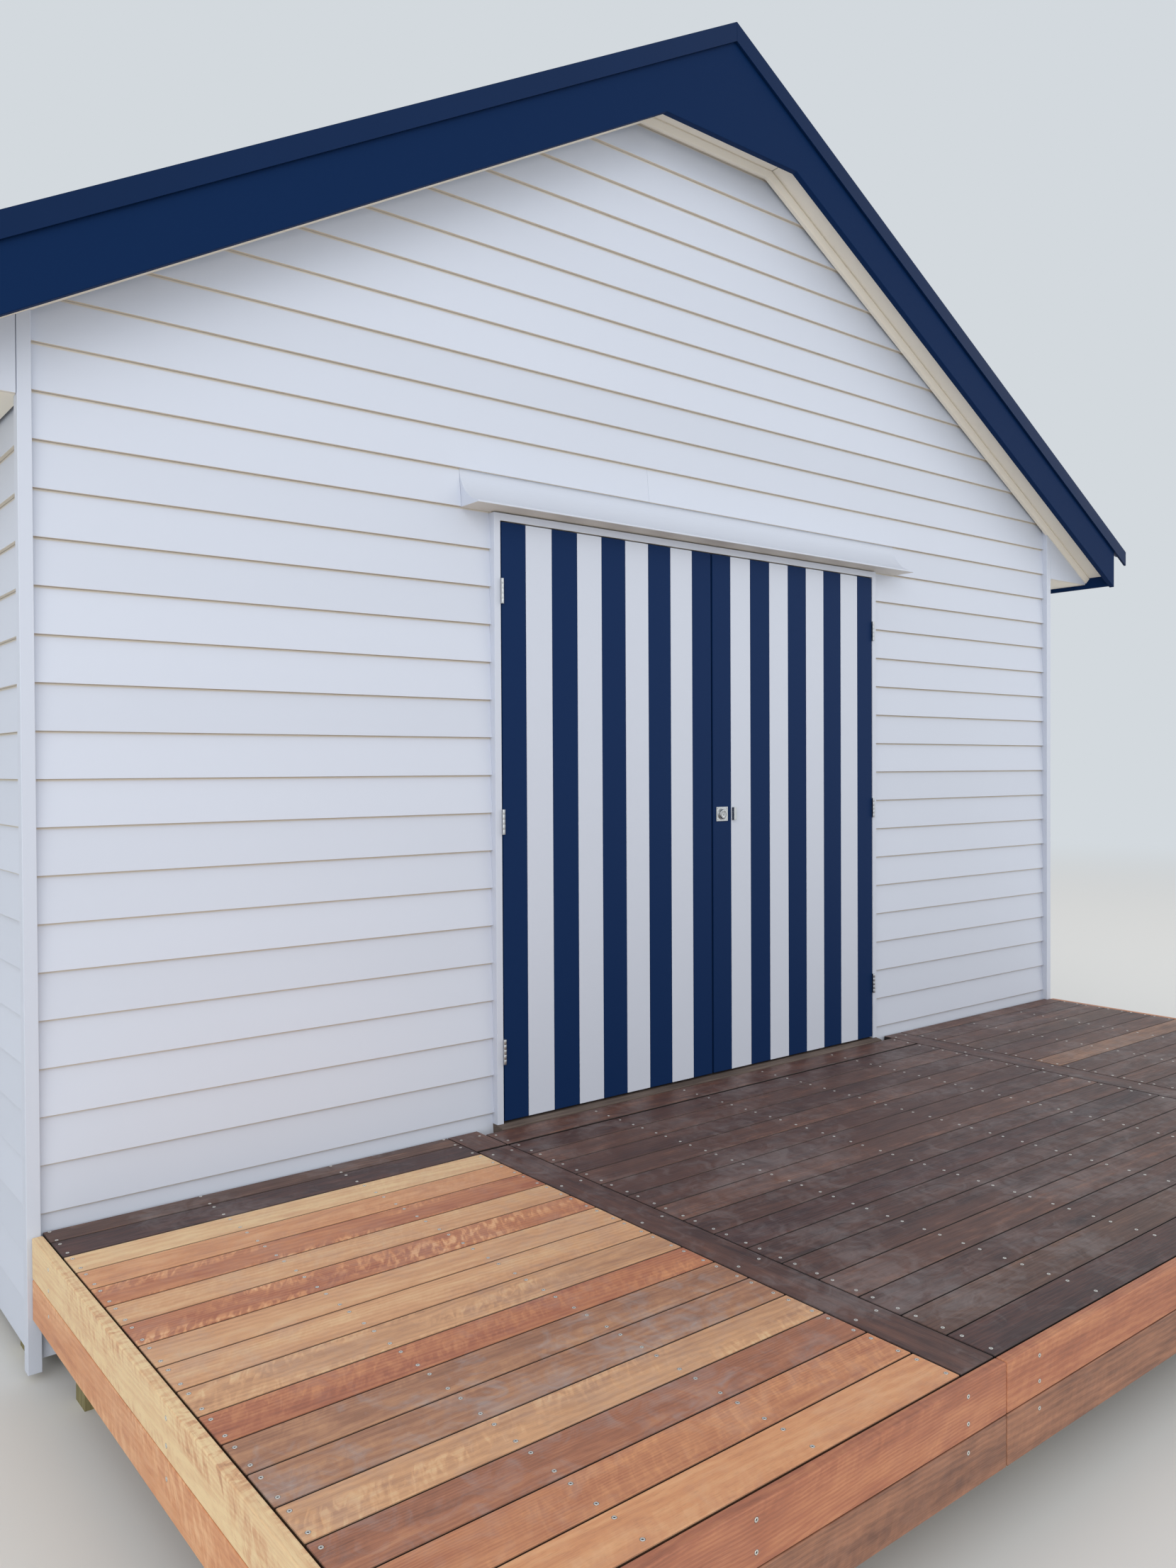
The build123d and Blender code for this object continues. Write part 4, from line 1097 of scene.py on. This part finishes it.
def corrugatedTree():
    sizes = {"Waves": "Int", "Steps": "Int", "Pitch": "Float", "Depth": "Float", "Reach": "Float"}
    tree, add, given = newTree("corrugatedSheet", sizes | {"Finish": "Material"})
    length = add("ShaderNodeMath", {0: given["Waves"], 1: given["Pitch"]}, operation="MULTIPLY")
    rows = add("ShaderNodeMath", {0: given["Waves"], 1: given["Steps"], 2: 1.0}, operation="MULTIPLY_ADD")
    flat = {"Size X": given["Reach"], "Size Y": length, "Vertices X": 2, "Vertices Y": rows}
    grid = add("GeometryNodeMeshGrid", flat)
    here = add("ShaderNodeSeparateXYZ", {0: add("GeometryNodeInputPosition")})
    turns = add("ShaderNodeMath", {0: here.outputs[1], 1: given["Pitch"]}, operation="DIVIDE")
    angle = add("ShaderNodeMath", {0: turns, 1: 2 * math.pi}, operation="MULTIPLY")
    wave = add("ShaderNodeMath", {0: angle}, operation="COSINE")
    half = add("ShaderNodeMath", {0: given["Depth"], 1: 0.5}, operation="MULTIPLY")
    rise = add("ShaderNodeMath", {0: wave, 1: half}, operation="MULTIPLY")
    offset = add("ShaderNodeCombineXYZ", {2: rise})
    shaped = add("GeometryNodeSetPosition", {"Geometry": grid, "Offset": offset})
    real = add("GeometryNodeRealizeInstances", {0: shaped})
    finished = add("GeometryNodeSetMaterial", {"Geometry": real, "Material": given["Finish"]})
    add("NodeGroupOutput", {0: finished})
    return tree


def fittedWaves(low, high):
    # how many waves a sheet has, and their pitch once they fit its real length
    count = round((high.y - low.y) / roofing["pitch"])
    return count, (high.y - low.y) / count


def roofSheets():
    tree = corrugatedTree()
    for side, node in roofSides:
        low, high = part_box(node)
        waves, pitch = fittedWaves(low, high)
        values = {
            "Waves": waves, "Steps": roofing["stepsPerWave"], "Pitch": pitch, "Depth": roofing["depth"],
            "Reach": (high.x - low.x) / math.cos(roofPitch), "Finish": navySteel,
        }
        placing = Matrix.Translation((low + high) / 2) @ Matrix.Rotation(side * roofPitch, 4, "Y")
        name = node.replace("_sheet", "_corrugations")
        sheet = grow(name, tree, bpy.data.meshes.new(node), values, placing)
        sheet.data.shade_smooth()
        skin = sheet.modifiers.new("sheetMetal", "SOLIDIFY")
        skin.thickness = roofing["thickness"]
        skin.offset = 0.0
        settle(sheet, node)


def roofScrews():
    # one screw on every third crest, over each batten that no cap covers
    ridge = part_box("ridge_cap")[1].x + roofing["capClear"]
    caps = solidBoxes("barge_caps")
    front = min(high.y for low, high in caps) + roofing["capClear"]
    back = max(low.y for low, high in caps) - roofing["capClear"]
    places, facing = [], []
    for side, node in roofSides:
        low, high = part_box(node)
        middle = (low + high) / 2
        normal = Vector((side * math.sin(roofPitch), 0, math.cos(roofPitch)))
        step = roofing["screwEvery"] * fittedWaves(low, high)[1]
        count = int((high.y - low.y) / 2 / step)
        for battenLow, battenHigh in solidBoxes("roof_battens"):
            batten = (battenLow + battenHigh) / 2
            lift = (middle - batten).dot(normal) + (roofing["depth"] + roofing["thickness"]) / 2
            foot = batten + lift * normal
            if batten.x * side < 0 or abs(foot.x) < ridge:
                continue
            for i in range(-count, count + 1):
                y = middle.y + i * step
                if front < y < back:
                    places.append((foot.x, y, foot.z))
                    facing.append(normal)
    head = lathe("roofScrewHead", roofing["screw"], roofing["screwSides"], navySteel)
    piece = driveScrews("roof_screws", places, facing, head, roofing["seed"], navySteel)
    settle(piece)
    print(len(places), "roof screws")


roofSheets()
roofScrews()
print("roof sheeted")


# Barge boards, with the flat piece under the peak filled and painted over
gable = {
    "edge": 0.0025,
    "sameFace": 0.001,  # boards whose front faces are this near belong to one gable
    "bead": 0.027,
    "beadFlat": 0.007,
    "beadSink": 0.012,  # how far the bead's back lies inside the boards
    "beadEdge": 0.0015,
}


def gableBarges():
    solids = solidBoxes("barge_boards")
    outlines = []
    for y in sorted({round(low.y, 3) for low, high in solids}):
        here = [box for box in solids if abs(box[0].y - y) < gable["sameFace"]]
        end = min(low.x for low, high in here)
        foot = min(low.z for low, high in here)
        crest = max(high.z for low, high in here)
        flat = min(here, key=lambda b: b[1].x - b[0].x)[0]  # corner of the narrow infill under the peak
        top = crest + roofSlope * end
        under = [(end, foot), (flat.x, flat.z), (-flat.x, flat.z), (-end, foot)]
        corners = [*under, (-end, top), (0.0, crest), (end, top)]
        outlines.append((here[0][0].y, here[0][1].y, corners))
    settle(rounded(extruded("gable_barges", outlines, navyPaint), gable["edge"]), "barge_boards")


def gableBeads():
    # a splayed bead in the corner between the soffit and the boards, following the soffit's underside
    low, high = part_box("gable_soffits")
    flatLow, flatHigh = max(solidBoxes("gable_soffits"), key=lambda b: b[0].z)
    size, rim, sink = gable["bead"], gable["beadFlat"], gable["beadSink"]
    section = [(-sink, 0), (size, 0), (size, rim), (rim, size), (-sink, size)]  # out from the wall, and down
    mitre = math.tan(roofPitch / 2)
    plumb = 1 / math.cos(roofPitch)
    # each point of the path, and how far its ring moves sideways and falls for each metre down the section
    path = [
        (low.x, low.z, 0.0, plumb), (flatLow.x, flatLow.z, mitre, 1.0),
        (flatHigh.x, flatLow.z, -mitre, 1.0), (high.x, low.z, 0.0, plumb),
    ]
    solids = []
    for side, stop in zip((-1, 1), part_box("corner_stops")):
        solids.append([
            [(x + sideways * drop, stop.y + side * out, z - fall * drop) for out, drop in section]
            for x, z, sideways, fall in path
        ])
    settle(rounded(skinned("gable_beads", solids, soffitPaint), gable["beadEdge"]))


gableBarges()
gableBeads()
print("gables trimmed")


# Trim and hinges with eased edges: the node, its finish and the width of the easing
trims = {
    "corner_posts": ("corner_stops", trimPaint, 0.002),
    "doorway_frame": ("door_frame", trimPaint, 0.0018),
    "eave_end_panels": ("eave_returns", trimPaint, 0.0015),
    "side_fascias": ("eave_fascias", navyPaint, 0.0025),
    "folded_barge_caps": ("barge_caps", navySteel, 0.0012),
    "folded_ridge_cap": ("ridge_cap", navySteel, 0.0012),
    "doorway_sill": ("door_sill", sillHardwood, 0.003),
    "eased_frame_hinge_leaves": ("frame_hinge_leaves", stainless, 0.0007),
    "eased_hinge_pins": ("hinge_pins", stainless, 0.0007),
    "eased_left_door_hinge_leaves": ("left_door_hinge_leaves", stainless, 0.0007),
    "eased_right_door_hinge_leaves": ("right_door_hinge_leaves", stainless, 0.0007),
}
for name, (node, material, width) in trims.items():
    copy = merged(node)
    flatAngle = math.radians(meshing["flatAngle"])
    bmesh.ops.dissolve_limit(copy, angle_limit=flatAngle, verts=copy.verts, edges=copy.edges)
    settle(rounded(meshPiece(name, copy, material), width), node)
print("trim eased")


# Floor boards inside
flooring = {
    "width": 0.135,
    "gap": 0.0012,
    "edge": 0.001,
    "seed": 33,
    "looks": ((0.30, 0.25, 0.05, 0.0), (0.24, 0.15, 0.05, 0.0), (0.36, 0.30, 0.08, 0.0)),
}


def floorBoards():
    low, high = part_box("floor_sheet")
    count = round((high.x - low.x) / flooring["width"])
    step = (high.x - low.x) / count
    boxes, looks = [], []
    for i in range(count):
        x = low.x + i * step
        boxes.append((Vector((x, low.y, low.z)), Vector((x + step - flooring["gap"], high.y, high.z))))
        looks.append(flooring["looks"][i * i % len(flooring["looks"])])  # an uneven turn of the looks
    boards = planks("floor_boards", boxes, decking, flooring["seed"], looks)
    settle(rounded(boards, flooring["edge"], 1), "floor_sheet")


floorBoards()
print("floor laid")


# Lining boards inside
lining = {
    "cover": 0.140,
    "gap": 0.002,
    "proud": 0.004,
    "edge": 0.0012,
    "clear": 0.004,
}


def boardSpans(start, finish):
    # both edges of every upright board between two places
    count = round((finish - start) / lining["cover"])
    step = (finish - start) / count
    edges = [start + i * step for i in range(count)]
    return [(edge + lining["gap"] / 2, edge + step - lining["gap"] / 2) for edge in edges]


def liningBoards():
    # upright boards on the inner face of every wall, their heads cut to the slope of the rafters
    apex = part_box("back_wall")[1].z - lining["clear"]
    left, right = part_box("left_wall")[1].x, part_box("right_wall")[0].x
    front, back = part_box("front_wall_left")[1].y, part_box("back_wall")[0].y
    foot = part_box("floor_sheet")[1].z + lining["clear"]
    doorLow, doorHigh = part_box("door_frame")
    ends, sides = [], []
    for start, finish, bottom, face, out in (
        (left, right, foot, back, -1),
        (left, doorLow.x, foot, front, 1),
        (doorHigh.x, right, foot, front, 1),
        (doorLow.x, doorHigh.x, doorHigh.z + lining["clear"], front, 1),
    ):
        for a, b in boardSpans(start, finish):
            crest = [(0.0, apex)] if a < 0 < b else []
            heads = [(b, apex - roofSlope * abs(b)), *crest, (a, apex - roofSlope * abs(a))]
            ends.append((face, face + out * lining["proud"], [(a, bottom), (b, bottom), *heads]))
    for face, out in ((left, 1), (right, -1)):
        top = apex - roofSlope * abs(face)
        for a, b in boardSpans(front + lining["proud"], back - lining["proud"]):
            sides.append((-face, -face - out * lining["proud"], [(a, foot), (b, foot), (b, top), (a, top)]))
    walls = [extruded("ends", ends, liningBoard), extruded("sides", sides, liningBoard)]
    walls[1].data.transform(Matrix.Rotation(math.pi / 2, 4, "Z"))
    settle(rounded(joinMeshes("lining_boards", walls), lining["edge"], 1))


liningBoards()
print("walls lined")


# Finishes of the CAD nodes that stay
for material, nodes in (
    (soffitPaint, "gable_soffits eave_soffits"),
    (liningBoard, "front_wall_left front_wall_right front_wall_over_doors left_wall right_wall back_wall"),
    (framePine, "floor_bearers floor_joists rafters ridge_board roof_battens"),
    (framePine, "deck_joists deck_ledger deck_bearers"),
    (stumpPine, "shed_stumps deck_posts"),
):
    for node in nodes.split():
        for materialSlot in frame["nodes"][node].material_slots:
            materialSlot.material = material
print("frame nodes finished")


# Floor, light and camera
studio = {
    "floor": "#E2E3E2",
    "backdrop": "#D3D9DE",
    "floorRadius": 60.0,
    "floorSides": 96,
    "fadeStart": 9.0,
    "fadeEnd": 26.0,
    "worldStrength": 0.74,
    "aim": (0.0, 0.0, 1.5),
    # place, size and power: a large key from the front left, a broad fill from the right, and one behind
    "lamps": {
        "key": ((-10.0, -13.0, 6.5), 12.0, 760.0),
        "fill": ((12.0, -11.0, 6.0), 10.0, 300.0),
        "back": ((0.0, 15.0, 12.0), 10.0, 700.0),
    },
}


def seenRays(add):
    # one for rays from the camera and in reflections or glass, which see the plain backdrop
    ray = add("ShaderNodeLightPath").outputs
    first = add("ShaderNodeMath", {0: ray["Is Camera Ray"], 1: ray["Is Glossy Ray"]}, operation="MAXIMUM")
    return add("ShaderNodeMath", {0: first, 1: ray["Is Transmission Ray"]}, operation="MAXIMUM")


def studioFloor():
    material, add = newMaterial("paleStudioFloor")
    matt = add("ShaderNodeBsdfDiffuse", {"Color": hexToLinear(studio["floor"])})
    plain = add("ShaderNodeEmission", {"Color": hexToLinear(studio["backdrop"])})
    place = add("ShaderNodeTexCoord").outputs["Object"]
    distance = add("ShaderNodeVectorMath", {0: place}, operation="LENGTH").outputs["Value"]
    faded = {0: distance, 1: studio["fadeStart"], 2: studio["fadeEnd"], 3: 0.0, 4: 1.0}
    fade = add("ShaderNodeMapRange", faded, interpolation_type="SMOOTHSTEP")
    share = add("ShaderNodeMath", {0: fade, 1: seenRays(add)}, operation="MULTIPLY")
    add("ShaderNodeOutputMaterial", {"Surface": add("ShaderNodeMixShader", {0: share, 1: matt, 2: plain})})
    shape = bmesh.new()
    radius, sides = studio["floorRadius"], studio["floorSides"]
    bmesh.ops.create_circle(shape, cap_ends=True, radius=radius, segments=sides)
    meshPiece("floor", shape, material)


def studioLight():
    world = bpy.data.worlds.new("softStudio")
    bpy.context.scene.world = world
    world.use_nodes = True
    world.node_tree.nodes.clear()
    add = partial(addNode, world.node_tree)
    soft = add("ShaderNodeBackground", {"Color": (1.0, 1.0, 1.0, 1.0), "Strength": studio["worldStrength"]})
    plain = add("ShaderNodeBackground", {"Color": hexToLinear(studio["backdrop"]), "Strength": 1.0})
    blend = add("ShaderNodeMixShader", {0: seenRays(add), 1: soft, 2: plain})
    add("ShaderNodeOutputWorld", {"Surface": blend})
    for name, (place, size, power) in studio["lamps"].items():
        lamp = bpy.data.lights.new(name, "AREA")
        lamp.size = size
        lamp.energy = power
        aim = Vector(studio["aim"]) - Vector(place)
        turn = aim.to_track_quat("-Z", "Y").to_matrix().to_4x4()
        placed(name, lamp).matrix_world = Matrix.Translation(place) @ turn


camera = {
    "place": (-3.7961, -6.4408, 1.8824),
    "yaw": 38.498,  # from straight ahead towards the right, in degrees
    "pitch": -0.7706,
    "roll": -0.2888,
    "lens": 26.937,
    "sensorHeight": 36.0,
    "clipEnd": 400.0,
}


def setCamera():
    eye = bpy.data.cameras.new("eye")
    eye.sensor_fit = "VERTICAL"
    eye.sensor_height = camera["sensorHeight"]
    eye.lens = camera["lens"]
    eye.clip_end = camera["clipEnd"]
    holder = placed("eye", eye)
    holder.matrix_world = (
        Matrix.Translation(camera["place"])
        @ Matrix.Rotation(math.radians(-camera["yaw"]), 4, "Z")
        @ Matrix.Rotation(math.radians(90 + camera["pitch"]), 4, "X")
        @ Matrix.Rotation(math.radians(camera["roll"]), 4, "Z")
    )
    bpy.context.scene.camera = holder


studioFloor()
studioLight()
setCamera()
bpy.context.scene.view_settings.view_transform = "Standard"
print("studio set")
